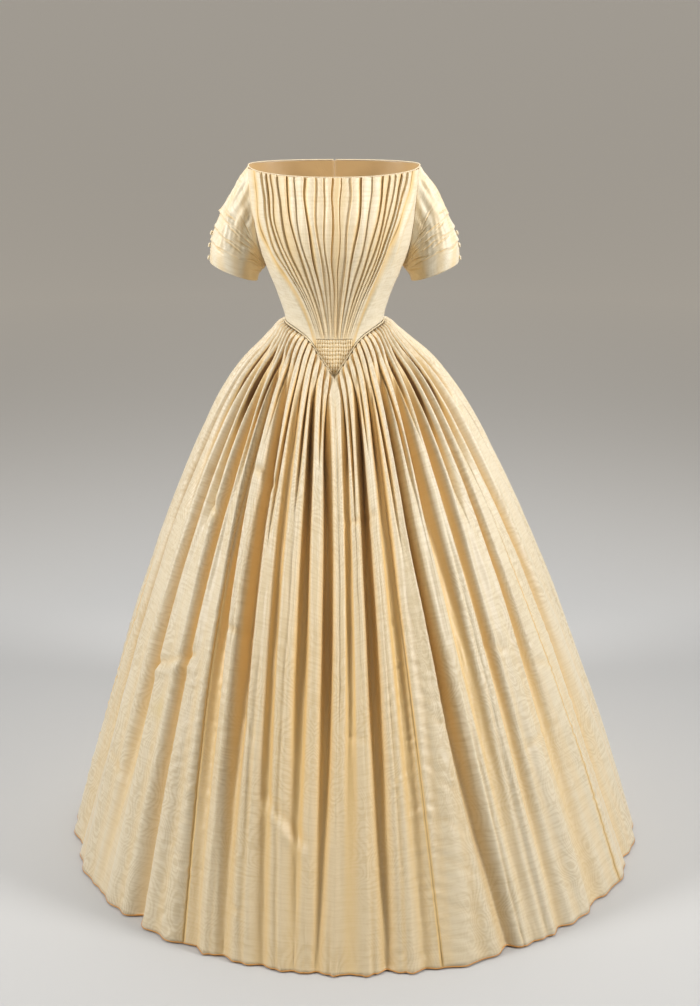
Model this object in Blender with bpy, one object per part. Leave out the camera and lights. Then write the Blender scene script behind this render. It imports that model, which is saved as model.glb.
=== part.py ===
"""Wedding dress of about 1840 in watered silk, as worn, with no wearer inside.

The frame is right-handed in metres. Its origin is the centre of the waist, where
the wearer holds the dress up. Up is +Z, the front faces -Y, and +X is to the right
of someone who looks at the front. Angles round the body start at the centre front
and grow towards +X, so 90 is the seam under the arm at +X and 180 the centre back.
"""

import math
from collections import namedtuple

import bmesh
import bpy
import numpy as np
from mathutils import Vector

# Cloth walls and the gaps between sewn pieces
WALL = 0.0015
GAP = 0.0003
HALF_GAP = GAP / 2

# Steps for measuring which way a surface faces, and the angle of a crisp edge
PROBE_TURN = 0.01
PROBE_RISE = 0.001
SEAM_PROBE_ANGLE = 2.0
SHARP_ANGLE = 50.0

# The body of the dress: heights of its main lines
NECK_HEIGHT = 0.296
NECK_DIP_FRONT = 0.011
NECK_DIP_BACK = 0.004
UNDERARM_HEIGHT = 0.106
HEM_HEIGHT = -1.058

# Cross-sections of the bodice, each a rounded oval about the vertical axis
BodiceSection = namedtuple("BodiceSection", "height half_width front back")
BODICE_SECTIONS = (
    BodiceSection(-0.110, 0.094, 0.1095, 0.075),
    BodiceSection(-0.050, 0.094, 0.0965, 0.075),
    BodiceSection(0.000, 0.094, 0.088, 0.075),
    BodiceSection(0.050, 0.107, 0.098, 0.082),
    BodiceSection(0.100, 0.127, 0.115, 0.090),
    BodiceSection(0.150, 0.145, 0.128, 0.097),
    BodiceSection(0.200, 0.155, 0.126, 0.102),
    BodiceSection(0.250, 0.160, 0.112, 0.104),
    BodiceSection(0.310, 0.162, 0.092, 0.102),
)
OVAL_POWER = 2.2

# The waist seam dips to a point at the front
SeamPoint = namedtuple("SeamPoint", "sideways drop")
WAIST_SEAM = (
    SeamPoint(0.0000, 0.089),
    SeamPoint(0.0275, 0.050),
    SeamPoint(0.0446, 0.026),
    SeamPoint(0.0680, 0.009),
    SeamPoint(0.0850, 0.002),
    SeamPoint(0.0940, 0.000),
)

# Piping cords let into the waist seam and the neckline
WAIST_CORD_RADIUS = 0.0014
NECK_CORD_RADIUS = 0.0011
CORD_SIDES = 5
WAIST_CORD_STEPS = 60
NECK_CORD_STEPS = 48
CORD_PROUD = 0.0008
CORD_BACK_GAP = 0.4

# Fan of pleats on the front of the bodice. Each pleat rises towards the centre
# front and drops at its folded edge, so the two halves mirror each other
FAN_PLEATS = 21
FAN_TOP_ANGLE = 72.0
FAN_LIFT_TOP = 0.0038
FAN_LIFT_WAIST = 0.0018
FAN_SPREAD_POWER = 1.6
PleatPoint = namedtuple("PleatPoint", "across lift")
FAN_PLEAT_SHAPE = (PleatPoint(0.0, 0.0), PleatPoint(0.50, 0.75), PleatPoint(0.86, 1.0))
SIDE_COLUMNS = 7
SIDE_CROWDING = 1.4
SIDE_TOP_STEP = 1.5
BACK_COLUMNS = 5

# Gauged panel: fine gathers caught down by rows of stitches above the point
PANEL_ANGLE = 19.4
PANEL_TOP = -0.021
PANEL_EDGE_GAP = 0.2
PANEL_GATHERS = 16
PANEL_STITCH_ROWS = 12
PANEL_LIFT = 0.0016
PANEL_PINCH = 0.35

# Armhole, as an upright oval that lies on the bodice
ARMHOLE_FRONT = 0.034
ARMHOLE_BACK = 0.055
ARMHOLE_STEPS = 8
SIDE_SEAM_HEIGHTS = (0.035, 0.070)

# Sleeve: the cuff is a tilted oval, and tucks run round above a plain band
CUFF_OUTER_X = 0.238
CUFF_OUTER_HEIGHT = 0.112
CUFF_INNER_X = 0.147
CUFF_INNER_HEIGHT = 0.077
CUFF_DEPTH = 0.046
SLEEVE_TOP_ABOVE_CUFF = 0.214
SleeveRow = namedtuple("SleeveRow", "above_cuff lift")
SLEEVE_ROWS = (
    SleeveRow(0.000, 0.0000),
    SleeveRow(0.020, 0.0000),
    SleeveRow(0.0425, 0.0000),
    SleeveRow(0.0445, 0.0030),
    SleeveRow(0.0560, 0.0010),
    SleeveRow(0.0705, 0.0000),
    SleeveRow(0.0725, 0.0030),
    SleeveRow(0.0860, 0.0010),
    SleeveRow(0.1015, 0.0000),
    SleeveRow(0.1035, 0.0030),
    SleeveRow(0.1180, 0.0010),
    SleeveRow(0.1600, 0.0000),
    SleeveRow(SLEEVE_TOP_ABOVE_CUFF, 0.0000),
)
SLEEVE_LINE_SAMPLES = 60
TUCK_FADE = 0.022

# How far the sleeve's curves are drawn on from the armhole and back from the cuff,
# under the arm, and how much more over the top of it
SleevePull = namedtuple("SleevePull", "across ahead up across_more up_more")
ARMHOLE_PULL = SleevePull(0.006, 0.006, -0.008, 0.024, -0.033)
CUFF_PULL = SleevePull(-0.001, 0.006, 0.012, 0.008, 0.046)

# Covered buttons at the outer edge of each sleeve
BUTTON_RADIUS = 0.005
BUTTON_HALF_THICKNESS = 0.0022
BUTTON_HEIGHTS = (0.0575, 0.033, 0.008)
BUTTON_AROUND = 8
BUTTON_RINGS = 5

# Skirt: a bell from the waist seam to the hem
HEM_HALF_WIDTH = 0.577
HEM_FRONT = 0.5985
HEM_BACK = 0.610
HEM_SHIFT = 0.039
BELL_POWER = 0.64
BELL_POWER_FRONT = 0.14
SKIRT_ROWS = (0.0, 0.012, 0.04, 0.09, 0.17, 0.28, 0.42, 0.60, 0.80, 1.0)

# Main folds of the skirt: the angle of each valley at the waist, a third of the
# way down and at the hem, and its depth high up, half way down and at the hem
SkirtFold = namedtuple("SkirtFold", "waist upper hem deep_upper deep_middle deep_hem")
FRONT_FOLDS = (
    SkirtFold(-78, -62, -60, 0.045, 0.036, 0.006),
    SkirtFold(-66, -48, -46, 0.032, 0.024, 0.030),
    SkirtFold(-54, -38, -31, 0.044, 0.022, 0.016),
    SkirtFold(-42, -30, -25, 0.034, 0.038, 0.014),
    SkirtFold(-30, -21, -17, 0.014, 0.018, 0.014),
    SkirtFold(-18, -12, -11, 0.036, 0.022, 0.006),
    SkirtFold(-6, -4, -7, 0.034, 0.032, 0.012),
    SkirtFold(6, 1, -1, 0.016, 0.010, 0.008),
    SkirtFold(18, 6, 6, 0.038, 0.036, 0.020),
    SkirtFold(30, 13, 13, 0.020, 0.016, 0.012),
    SkirtFold(42, 22, 30, 0.044, 0.044, 0.026),
    SkirtFold(54, 31, 35, 0.030, 0.014, 0.006),
    SkirtFold(66, 40, 42, 0.024, 0.020, 0.012),
    SkirtFold(77, 54, 54, 0.026, 0.022, 0.014),
    SkirtFold(88, 70, 72, 0.028, 0.026, 0.016),
)
BACK_FOLDS = 13
BACK_FOLD_UPPER = 0.036
BACK_FOLD_MIDDLE = 0.032
BACK_FOLD_HEM = 0.018
BACK_FOLD_SWAY = 1.8
BACK_SWAY_STEP = 2.4
BACK_FOLD_UNEVEN = 0.22
BACK_UNEVEN_STEP = 1.7
UPPER_DEPTH_AT = 0.15
UPPER_FOLD_AT = 0.30
MIDDLE_FOLD_AT = 0.55
COLUMNS_PER_FOLD = 6
VALLEY_SHAPE = (1.0, 0.45, 0.05, 0.0, 0.05, 0.45)
WAIST_PLEAT_SHAPE = (1.0, 0.0, 0.0, 1.0, 0.0, 0.0)
WAIST_PLEAT_DEPTH = 0.0075
WAIST_PLEAT_SEAM_DEPTH = 0.0040
WAIST_PLEAT_FADE = 0.16
WAIST_PLEAT_RISE = 0.02
FOLD_START = 0.03

# Widths of silk in the skirt, by the columns where one ends and the next starts.
# The count starts at the first fold of the table
SkirtWidth = namedtuple("SkirtWidth", "name first last")
SKIRT_WIDTHS = (
    SkirtWidth("skirt_front", 11, 55),
    SkirtWidth("skirt_front_side_right", 55, 81),
    SkirtWidth("skirt_side_right", 81, 100),
    SkirtWidth("skirt_back_right", 100, 120),
    SkirtWidth("skirt_back_left", 120, 140),
    SkirtWidth("skirt_side_left", 140, 159),
    SkirtWidth("skirt_front_side_left", 159, 179),
)

Finish = namedtuple("Finish", "name colour roughness")
SILK = Finish("watered_silk", (0.80, 0.69, 0.47, 1.0), 0.42)
GAUGED_SILK = Finish("gauged_silk", (0.76, 0.64, 0.42, 1.0), 0.48)
PIPING_SILK = Finish("piping_silk", (0.72, 0.58, 0.35, 1.0), 0.50)
BUTTON_SILK = Finish("button_silk", (0.78, 0.67, 0.45, 1.0), 0.45)


def clear_scene():
    """Take away whatever the scene holds."""
    for old in list(bpy.data.objects):
        bpy.data.objects.remove(old, do_unlink=True)


def finish_of(finish):
    """The material of one piece."""
    material = bpy.data.materials.get(finish.name) or bpy.data.materials.new(finish.name)
    material.use_nodes = True
    shader = material.node_tree.nodes["Principled BSDF"]
    shader.inputs["Base Color"].default_value = finish.colour
    shader.inputs["Roughness"].default_value = finish.roughness
    shader.inputs["Metallic"].default_value = 0.0
    return material


def add_piece(name, shape, finish):
    """Make an object of a finished closed mesh, with its faces turned out."""
    bmesh.ops.recalc_face_normals(shape, faces=shape.faces)
    mesh = bpy.data.meshes.new(name)
    shape.to_mesh(mesh)
    shape.free()
    mesh.shade_smooth()
    mesh.set_sharp_from_angle(angle=math.radians(SHARP_ANGLE))
    piece = bpy.data.objects.new(name, mesh)
    bpy.context.scene.collection.objects.link(piece)
    mesh.materials.append(finish_of(finish))
    return piece


def smooth_between(places, values, place):
    """A smooth curve through a column of a table."""
    slopes = np.gradient(values, places)
    after = int(np.clip(np.searchsorted(places, place), 1, len(places) - 1))
    before = after - 1
    span = places[after] - places[before]
    part = (place - places[before]) / span
    square = part * part
    cube = square * part
    return (
        (2 * cube - 3 * square + 1) * values[before]
        + (cube - 2 * square + part) * span * slopes[before]
        + (3 * square - 2 * cube) * values[after]
        + (cube - square) * span * slopes[after]
    )


def bodice_size(height, column):
    """One size of the bodice at a height."""
    heights = [section.height for section in BODICE_SECTIONS]
    values = [getattr(section, column) for section in BODICE_SECTIONS]
    return smooth_between(heights, values, height)


def bodice_point(angle, height):
    """A point on the outside of the plain bodice."""
    sine = math.sin(angle)
    cosine = math.cos(angle)
    depth = bodice_size(height, "front" if cosine > 0 else "back")
    power = 2 / OVAL_POWER
    across = bodice_size(height, "half_width") * math.copysign(abs(sine) ** power, sine)
    back = -depth * math.copysign(abs(cosine) ** power, cosine)
    return np.array((across, back, height))


def bodice_normal(angle, height):
    """The way the plain bodice faces at a point."""
    right = bodice_point(angle + PROBE_TURN, height)
    left = bodice_point(angle - PROBE_TURN, height)
    above = bodice_point(angle, height + PROBE_RISE)
    below = bodice_point(angle, height - PROBE_RISE)
    normal = np.cross(right - left, above - below)
    return normal / np.linalg.norm(normal)


def bodice_angle(back, height):
    """The angle at which the bodice reaches a distance behind or before its axis."""
    depth = bodice_size(height, "front" if back < 0 else "back")
    cosine = min(1.0, abs(back) / depth) ** (OVAL_POWER / 2)
    return math.acos(-math.copysign(cosine, back))


def seam_height(angle):
    """Height of the waist seam."""
    if math.cos(angle) <= 0:
        return 0.0
    places = [point.sideways for point in WAIST_SEAM]
    drops = [point.drop for point in WAIST_SEAM]
    sideways = min(abs(bodice_point(angle, 0.0)[0]), places[-1])
    return -smooth_between(places, drops, sideways)


def seam_stretch(angle):
    """How much further apart two edges are, measured upright, where the seam slopes."""
    step = math.radians(SEAM_PROBE_ANGLE)
    inner = max(abs(angle), step)
    low = bodice_point(inner - step, seam_height(inner - step))
    high = bodice_point(inner + step, seam_height(inner + step))
    level = math.hypot(high[0] - low[0], high[1] - low[1])
    return math.hypot(1.0, (high[2] - low[2]) / level)


def waist_edge(angle, side):
    """A point on the edge of a piece, above or below the piping in the waist seam."""
    height = seam_height(angle) + side * (WAIST_CORD_RADIUS + GAP) * seam_stretch(angle)
    return bodice_point(angle, height)


def neck_height(angle):
    """Height of the neckline."""
    dip = NECK_DIP_FRONT if math.cos(angle) > 0 else NECK_DIP_BACK
    return NECK_HEIGHT - dip * abs(math.cos(angle))


def grid_normals(points, closed=False):
    """Unit normals of a grid of points, on the side away from the body."""
    if closed:
        wrapped = np.concatenate((points[:, -1:], points, points[:, :1]), axis=1)
        around = wrapped[:, 2:] - wrapped[:, :-2]
    else:
        around = np.gradient(points, axis=1)
    along = np.gradient(points, axis=0)
    normals = np.cross(around, along)
    return normals / np.linalg.norm(normals, axis=2, keepdims=True)


def wall(name, outer, inner, finish, closed=False):
    """A closed wall of cloth between an outer and an inner grid of points."""
    rows, columns = outer.shape[:2]
    shape = bmesh.new()
    outside = [[shape.verts.new(point) for point in row] for row in outer]
    inside = [[shape.verts.new(point) for point in row] for row in inner]
    reach = columns if closed else columns - 1
    for row in range(rows - 1):
        for column in range(reach):
            beside = (column + 1) % columns
            for face in (outside, inside):
                shape.faces.new((face[row][column], face[row][beside],
                                 face[row + 1][beside], face[row + 1][column]))
    for column in range(reach):
        beside = (column + 1) % columns
        for row in (0, rows - 1):
            shape.faces.new((outside[row][column], outside[row][beside],
                             inside[row][beside], inside[row][column]))
    if not closed:
        for row in range(rows - 1):
            for column in (0, columns - 1):
                shape.faces.new((outside[row][column], outside[row + 1][column],
                                 inside[row + 1][column], inside[row][column]))
    return add_piece(name, shape, finish)


def cord(name, path, radius, finish):
    """A piping cord along a path, with flat ends."""
    shape = bmesh.new()
    rings = []
    for step, centre in enumerate(path):
        before = path[max(step - 1, 0)]
        after = path[min(step + 1, len(path) - 1)]
        ahead = Vector(after - before).normalized()
        outward = Vector((centre[0], centre[1], 0.0)).normalized()
        upward = ahead.cross(outward).normalized()
        outward = upward.cross(ahead)
        ring = []
        for side in range(CORD_SIDES):
            turn = 2 * math.pi * side / CORD_SIDES
            offset = outward * math.cos(turn) + upward * math.sin(turn)
            ring.append(shape.verts.new(Vector(centre) + offset * radius))
        rings.append(ring)
    for ring, following in zip(rings, rings[1:]):
        for side in range(CORD_SIDES):
            beside = (side + 1) % CORD_SIDES
            shape.faces.new((ring[side], ring[beside], following[beside], following[side]))
    shape.faces.new(rings[0])
    shape.faces.new(rings[-1])
    return add_piece(name, shape, finish)


def armhole_edge(front):
    """Heights and angles of the side seam and the armhole, from waist to neck."""
    reach = -ARMHOLE_FRONT if front else ARMHOLE_BACK
    centre = (NECK_HEIGHT + UNDERARM_HEIGHT) / 2
    radius = (NECK_HEIGHT - UNDERARM_HEIGHT) / 2
    quarter = math.pi / 2
    edge = [(seam_height(quarter), quarter)]
    edge += [(height, quarter) for height in SIDE_SEAM_HEIGHTS]
    for step in range(ARMHOLE_STEPS + 1):
        turn = math.pi * (1 - step / ARMHOLE_STEPS)
        height = centre + radius * math.cos(turn)
        edge.append((height, bodice_angle(reach * math.sin(turn), height)))
    return edge


FRONT_EDGE = armhole_edge(front=True)
BACK_EDGE = armhole_edge(front=False)
ROW_PARTS = [height / NECK_HEIGHT for height, angle in FRONT_EDGE]


def fan_angle(top, bottom, part):
    """A pleat hangs straight from the neckline and draws in towards the panel."""
    return bottom + (top - bottom) * (1 - (1 - part) ** FAN_SPREAD_POWER)


def fan_columns():
    """Angles at neckline and panel, and the lift, of each line of the fan."""
    columns = []
    for pleat in range(FAN_PLEATS):
        shape = FAN_PLEAT_SHAPE
        if pleat > FAN_PLEATS // 2:
            folded = [PleatPoint(1 - point.across, point.lift) for point in shape[:0:-1]]
            shape = (shape[0], *folded)
        for point in shape:
            place = 2 * (pleat + point.across) / FAN_PLEATS - 1
            columns.append((place * FAN_TOP_ANGLE, place * PANEL_ANGLE, point.lift))
    columns.append((FAN_TOP_ANGLE, PANEL_ANGLE, 0.0))
    return columns


def side_line(share, row):
    """Angle of a plain line between the fan and the edge of the front, and its foot."""
    height, edge = FRONT_EDGE[row]
    part = ROW_PARTS[row]
    first = math.radians(PANEL_ANGLE + PANEL_EDGE_GAP)
    fan = fan_angle(math.radians(FAN_TOP_ANGLE + SIDE_TOP_STEP), first, part)
    return fan + (edge - fan) * share ** SIDE_CROWDING


def build_bodice_front():
    """The front, cut in one: a fan of pleats between two plain sides."""
    rows = []
    for row, part in enumerate(ROW_PARTS):
        line = []
        for share in np.linspace(1, 0, SIDE_COLUMNS, endpoint=False):
            line.append((-side_line(share, row), -side_line(share, 0), 0.0))
        line.append((-side_line(0, row), -side_line(0, 0), 0.0))
        for top, bottom, lift in fan_columns():
            angle = fan_angle(math.radians(top), math.radians(bottom), part)
            line.append((angle, None, lift))
        for share in np.linspace(0, 1, SIDE_COLUMNS + 1):
            line.append((side_line(share, row), side_line(share, 0), 0.0))
        rows.append(line)
    tops = [angle for angle, foot, lift in rows[-1]]
    base = np.zeros((len(rows), len(tops), 3))
    normals = np.zeros((len(rows), len(tops), 3))
    lifts = np.zeros((len(rows), len(tops), 1))
    for row, line in enumerate(rows):
        part = ROW_PARTS[row]
        for column, (angle, foot, lift) in enumerate(line):
            low = PANEL_TOP if foot is None else waist_edge(foot, 1)[2]
            height = low + (neck_height(tops[column]) - low) * part
            if column in (0, len(line) - 1):
                height = max(low, FRONT_EDGE[row][0])
            base[row, column] = bodice_point(angle, height)
            normals[row, column] = bodice_normal(angle, height)
            lifts[row, column] = lift * (FAN_LIFT_WAIST + (FAN_LIFT_TOP - FAN_LIFT_WAIST) * part)
    base[:, (0, -1), 1] -= HALF_GAP
    wall("bodice_front", base + normals * lifts, base - normals * WALL, SILK)


def build_bodice_back(name, side):
    """One half of the back, from the side seam to the closing at the centre back."""
    base = np.zeros((len(ROW_PARTS), BACK_COLUMNS + 1, 3))
    normals = np.zeros((len(ROW_PARTS), BACK_COLUMNS + 1, 3))
    for row, part in enumerate(ROW_PARTS):
        height, edge = BACK_EDGE[row]
        for column in range(BACK_COLUMNS + 1):
            share = column / BACK_COLUMNS
            angle = edge + (math.pi - edge) * share
            top = math.pi / 2 * (1 + share)
            low = waist_edge(angle, 1)[2]
            level = low + (neck_height(top) - low) * part
            if column == 0:
                level = max(low, height)
            base[row, column] = bodice_point(angle, level)
            normals[row, column] = bodice_normal(angle, level)
    base[:, 0, 1] += HALF_GAP
    base[:, -1, 0] = HALF_GAP
    inner = base - normals * WALL
    inner[:, -1, 0] = HALF_GAP
    if side < 0:
        base[:, :, 0] *= -1
        inner[:, :, 0] *= -1
    wall(name, base, inner, SILK)


def build_gauged_panel():
    """The small stitched panel that draws the fan together above the point."""
    columns = 2 * PANEL_GATHERS
    rows = 2 * PANEL_STITCH_ROWS
    base = np.zeros((rows + 1, columns + 1, 3))
    normals = np.zeros((rows + 1, columns + 1, 3))
    lifts = np.zeros((rows + 1, columns + 1, 1))
    for column in range(columns + 1):
        angle = math.radians(PANEL_ANGLE) * (2 * column / columns - 1)
        low = waist_edge(angle, 1)[2]
        for row in range(rows + 1):
            height = low + (PANEL_TOP - GAP - low) * row / rows
            base[row, column] = bodice_point(angle, height)
            normals[row, column] = bodice_normal(angle, height)
            pinch = PANEL_PINCH if row % 2 else 1.0
            lifts[row, column] = PANEL_LIFT * pinch * (column % 2)
    wall("gauged_panel", base + normals * lifts, base - normals * WALL, GAUGED_SILK)


def cuff_level(across):
    """Height of the tilted plane of the cuff."""
    slope = (CUFF_OUTER_HEIGHT - CUFF_INNER_HEIGHT) / (CUFF_OUTER_X - CUFF_INNER_X)
    return CUFF_INNER_HEIGHT + (across - CUFF_INNER_X) * slope


def sleeve_line(start, turn):
    """A line down the sleeve from the armhole to the cuff, finely sampled."""
    upper = (1 + math.cos(turn)) / 2
    ahead = -math.sin(turn)
    middle = (CUFF_OUTER_X + CUFF_INNER_X) / 2
    across = middle + (CUFF_OUTER_X - CUFF_INNER_X) / 2 * math.cos(turn)
    end = np.array((across, CUFF_DEPTH * ahead, cuff_level(across)))
    leave, arrive = (
        np.array((pull.across + pull.across_more * upper, pull.ahead * ahead,
                  pull.up + pull.up_more * upper))
        for pull in (ARMHOLE_PULL, CUFF_PULL))
    points = []
    for part in np.linspace(0, 1, SLEEVE_LINE_SAMPLES):
        rest = 1 - part
        points.append(start * rest ** 3 + (start + leave) * 3 * part * rest ** 2
                      + (end + arrive) * 3 * part ** 2 * rest + end * part ** 3)
    return np.array(points)


def sleeve_grid():
    """Plain points of the sleeve at +X from the cuff up, and the lift of each."""
    shoulder = len(FRONT_EDGE) - 1
    underarm = shoulder - ARMHOLE_STEPS
    ring = [(FRONT_EDGE[row], 1) for row in range(shoulder, underarm, -1)]
    ring += [(BACK_EDGE[row], -1) for row in range(underarm, shoulder)]
    grid = np.zeros((len(SLEEVE_ROWS), len(ring), 3))
    lifts = np.zeros((len(SLEEVE_ROWS), len(ring), 1))
    for column, ((height, angle), facing) in enumerate(ring):
        turn = math.pi * column / ARMHOLE_STEPS
        start = bodice_point(angle, height) + bodice_normal(angle, height) * GAP
        line = sleeve_line(start, turn)
        above = line[:, 2] - np.array([cuff_level(point[0]) for point in line])
        whole = above[0]
        ratio = SLEEVE_TOP_ABOVE_CUFF / whole
        for row, size in enumerate(SLEEVE_ROWS):
            level = whole * (1 - (1 - size.above_cuff / SLEEVE_TOP_ABOVE_CUFF) ** ratio)
            lifts[row, column] = size.lift * min(1.0, (whole - level) / TUCK_FADE)
            for axis in range(3):
                grid[row, column, axis] = np.interp(-level, -above, line[:, axis])
    return grid, lifts


def build_sleeve(side_name, side):
    """A short sleeve with three tucks and a plain band, and its covered buttons."""
    base, lifts = sleeve_grid()
    normals = grid_normals(base[:, ::-1], closed=True)[:, ::-1]
    outer = base + normals * lifts
    inner = base - normals * WALL
    inner[0, :, 2] = base[0, :, 2]
    mirror = np.array((side, 1.0, 1.0))
    wall("sleeve_" + side_name, outer * mirror, inner * mirror, SILK, closed=True)
    heights = [size.above_cuff for size in SLEEVE_ROWS]
    for number, above in enumerate(BUTTON_HEIGHTS, start=1):
        seat = np.array([np.interp(above, heights, outer[:, 0, axis]) for axis in range(3)])
        facing = np.array([np.interp(above, heights, normals[:, 0, axis]) for axis in range(3)])
        facing /= np.linalg.norm(facing)
        centre = seat + facing * (BUTTON_HALF_THICKNESS + GAP)
        shape = bmesh.new()
        bmesh.ops.create_uvsphere(shape, u_segments=BUTTON_AROUND, v_segments=BUTTON_RINGS,
                                  radius=BUTTON_RADIUS)
        flat = BUTTON_HALF_THICKNESS / BUTTON_RADIUS
        bmesh.ops.scale(shape, vec=Vector((1.0, 1.0, flat)), verts=shape.verts)
        turned = Vector(facing * mirror).to_track_quat("Z", "Y").to_matrix()
        bmesh.ops.rotate(shape, cent=Vector(), matrix=turned, verts=shape.verts)
        bmesh.ops.translate(shape, vec=Vector(centre * mirror), verts=shape.verts)
        add_piece("sleeve_button_%s_%d" % (side_name, number), shape, BUTTON_SILK)


def all_folds():
    """The folds of the front, then those of the back at even steps."""
    folds = list(FRONT_FOLDS)
    first = FRONT_FOLDS[0]
    last = FRONT_FOLDS[-1]
    for number in range(1, BACK_FOLDS + 1):
        share = number / (BACK_FOLDS + 1)
        sway = BACK_FOLD_SWAY * math.sin(BACK_SWAY_STEP * number)
        uneven = 1 + BACK_FOLD_UNEVEN * math.sin(BACK_UNEVEN_STEP * number)
        folds.append(SkirtFold(
            last.waist + (first.waist + 360 - last.waist) * share,
            last.upper + (first.upper + 360 - last.upper) * share + sway,
            last.hem + (first.hem + 360 - last.hem) * share + sway,
            BACK_FOLD_UPPER * uneven,
            BACK_FOLD_MIDDLE * uneven,
            BACK_FOLD_HEM / uneven))
    return folds


def bell_point(waist, hem, part):
    """A point of the plain bell under the folds, part of the way down."""
    start = waist_edge(waist, -1)
    depth = HEM_FRONT if math.cos(hem) > 0 else HEM_BACK
    end = np.array((HEM_HALF_WIDTH * math.sin(hem) + HEM_SHIFT, -depth * math.cos(hem),
                    HEM_HEIGHT))
    reach = part ** (BELL_POWER + BELL_POWER_FRONT * math.cos(hem))
    point = start + (end - start) * reach
    point[2] = start[2] + (end[2] - start[2]) * part
    return point


def skirt_grids():
    """Outer and inner points of the whole skirt, row by row from the hem up."""
    folds = all_folds()
    count = len(folds) * COLUMNS_PER_FOLD
    place = np.arange(count) / COLUMNS_PER_FOLD
    nearest = place.astype(int)
    share = place - nearest
    following = (nearest + 1) % len(folds)
    turn = np.where(following == 0, 360.0, 0.0)

    def angles(column):
        values = np.array([getattr(fold, column) for fold in folds], dtype=float)
        return values[nearest] + (values[following] + turn - values[nearest]) * share

    def depths(column):
        values = np.array([getattr(fold, column) for fold in folds])
        side = np.where(share < 0.5, nearest, following)
        return values[side]

    waist = np.radians(angles("waist"))
    upper = np.radians(angles("upper"))
    hem = np.radians(angles("hem"))
    phase = np.arange(count) % COLUMNS_PER_FOLD
    valley = np.array(VALLEY_SHAPE)[phase]
    pleat = np.array(WAIST_PLEAT_SHAPE)[phase]
    base = np.zeros((len(SKIRT_ROWS), count, 3))
    depth = np.zeros((len(SKIRT_ROWS), count, 1))
    for row, part in enumerate(reversed(SKIRT_ROWS)):
        below = max(0.0, (part - UPPER_FOLD_AT) / (1 - UPPER_FOLD_AT))
        heading = upper + (hem - upper) * below
        for column in range(count):
            base[row, column] = bell_point(waist[column], heading[column], part)
        stops = (FOLD_START, UPPER_DEPTH_AT, MIDDLE_FOLD_AT, 1.0)
        for column in range(count):
            sizes = (0.0, depths("deep_upper")[column], depths("deep_middle")[column],
                     depths("deep_hem")[column])
            depth[row, column] = np.interp(part, stops, sizes) * valley[column]
        rise = min(1.0, part / WAIST_PLEAT_RISE)
        fade = math.exp(-part / WAIST_PLEAT_FADE)
        fullness = WAIST_PLEAT_SEAM_DEPTH + (WAIST_PLEAT_DEPTH - WAIST_PLEAT_SEAM_DEPTH) * rise
        depth[row, :, 0] += pleat * fullness * fade
    normals = grid_normals(base, closed=True)
    outer = base - normals * depth
    outer[0, :, 2] = HEM_HEIGHT
    inner = outer - grid_normals(outer, closed=True) * WALL
    inner[0, :, 2] = HEM_HEIGHT
    return outer, inner


def trimmed(grid):
    """The same points with the first and last columns drawn in by half a seam gap."""
    grid = grid.copy()
    for edge, beside in ((0, 1), (-1, -2)):
        inward = grid[:, beside] - grid[:, edge]
        grid[:, edge] += inward / np.linalg.norm(inward, axis=1, keepdims=True) * HALF_GAP
    return grid


def build_skirt():
    """Seven widths of silk, pleated to the waist seam and open at the hem."""
    outer, inner = skirt_grids()
    count = outer.shape[1]
    for width in SKIRT_WIDTHS:
        columns = [column % count for column in range(width.first, width.last + 1)]
        wall(width.name, trimmed(outer[:, columns]), trimmed(inner[:, columns]), SILK)


def build_piping():
    """Cords along the waist seam and the neckline, open at the centre back."""
    reach = 180 - CORD_BACK_GAP
    path = []
    for angle in np.radians(np.linspace(-reach, reach, WAIST_CORD_STEPS + 1)):
        point = bodice_point(angle, seam_height(angle))
        outward = np.array((point[0], point[1], 0.0))
        path.append(point + outward / np.linalg.norm(outward) * CORD_PROUD)
    cord("waist_piping", path, WAIST_CORD_RADIUS, PIPING_SILK)
    path = []
    for angle in np.radians(np.linspace(-reach, reach, NECK_CORD_STEPS + 1)):
        level = neck_height(angle)
        point = bodice_point(angle, level)
        point[2] = level + NECK_CORD_RADIUS + GAP
        path.append(point)
    cord("neckline_piping", path, NECK_CORD_RADIUS, PIPING_SILK)


clear_scene()
build_bodice_front()
build_bodice_back("bodice_back_right", 1)
build_bodice_back("bodice_back_left", -1)
build_gauged_panel()
build_sleeve("right", 1)
build_sleeve("left", -1)
build_skirt()
build_piping()
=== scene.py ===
"""Looks of a wedding dress of about 1840 in cream watered silk, as worn.

Metres, in the frame of the solids: the origin is the centre of the waist, up is +Z
and the front faces -Y. Angles round the body start at the centre front and grow
towards +X.
"""

import math
from collections import namedtuple

import bpy
import numpy as np
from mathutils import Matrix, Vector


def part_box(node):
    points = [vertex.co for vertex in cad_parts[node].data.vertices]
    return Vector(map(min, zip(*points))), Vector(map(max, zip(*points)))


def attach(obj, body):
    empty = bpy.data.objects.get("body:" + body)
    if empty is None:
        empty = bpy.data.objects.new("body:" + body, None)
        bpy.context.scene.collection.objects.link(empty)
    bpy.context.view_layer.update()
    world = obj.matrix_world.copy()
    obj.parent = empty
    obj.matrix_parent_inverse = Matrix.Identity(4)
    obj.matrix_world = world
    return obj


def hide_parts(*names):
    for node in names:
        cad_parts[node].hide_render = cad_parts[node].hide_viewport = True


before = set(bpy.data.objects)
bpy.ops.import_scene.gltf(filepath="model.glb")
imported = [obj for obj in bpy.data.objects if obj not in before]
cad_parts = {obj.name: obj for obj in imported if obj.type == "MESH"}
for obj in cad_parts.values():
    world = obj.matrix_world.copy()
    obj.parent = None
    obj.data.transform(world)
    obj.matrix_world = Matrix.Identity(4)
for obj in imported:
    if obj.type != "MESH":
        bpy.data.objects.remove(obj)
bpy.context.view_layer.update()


# The studio: a pale floor that runs on far behind, two broad soft lamps in front
# and a weak one from above and behind, with the camera a little above the waist
# and turned down.
CAMERA_PLACE = (0.03, -3.36, 0.730)
CAMERA_TILT = 74.0
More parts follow.
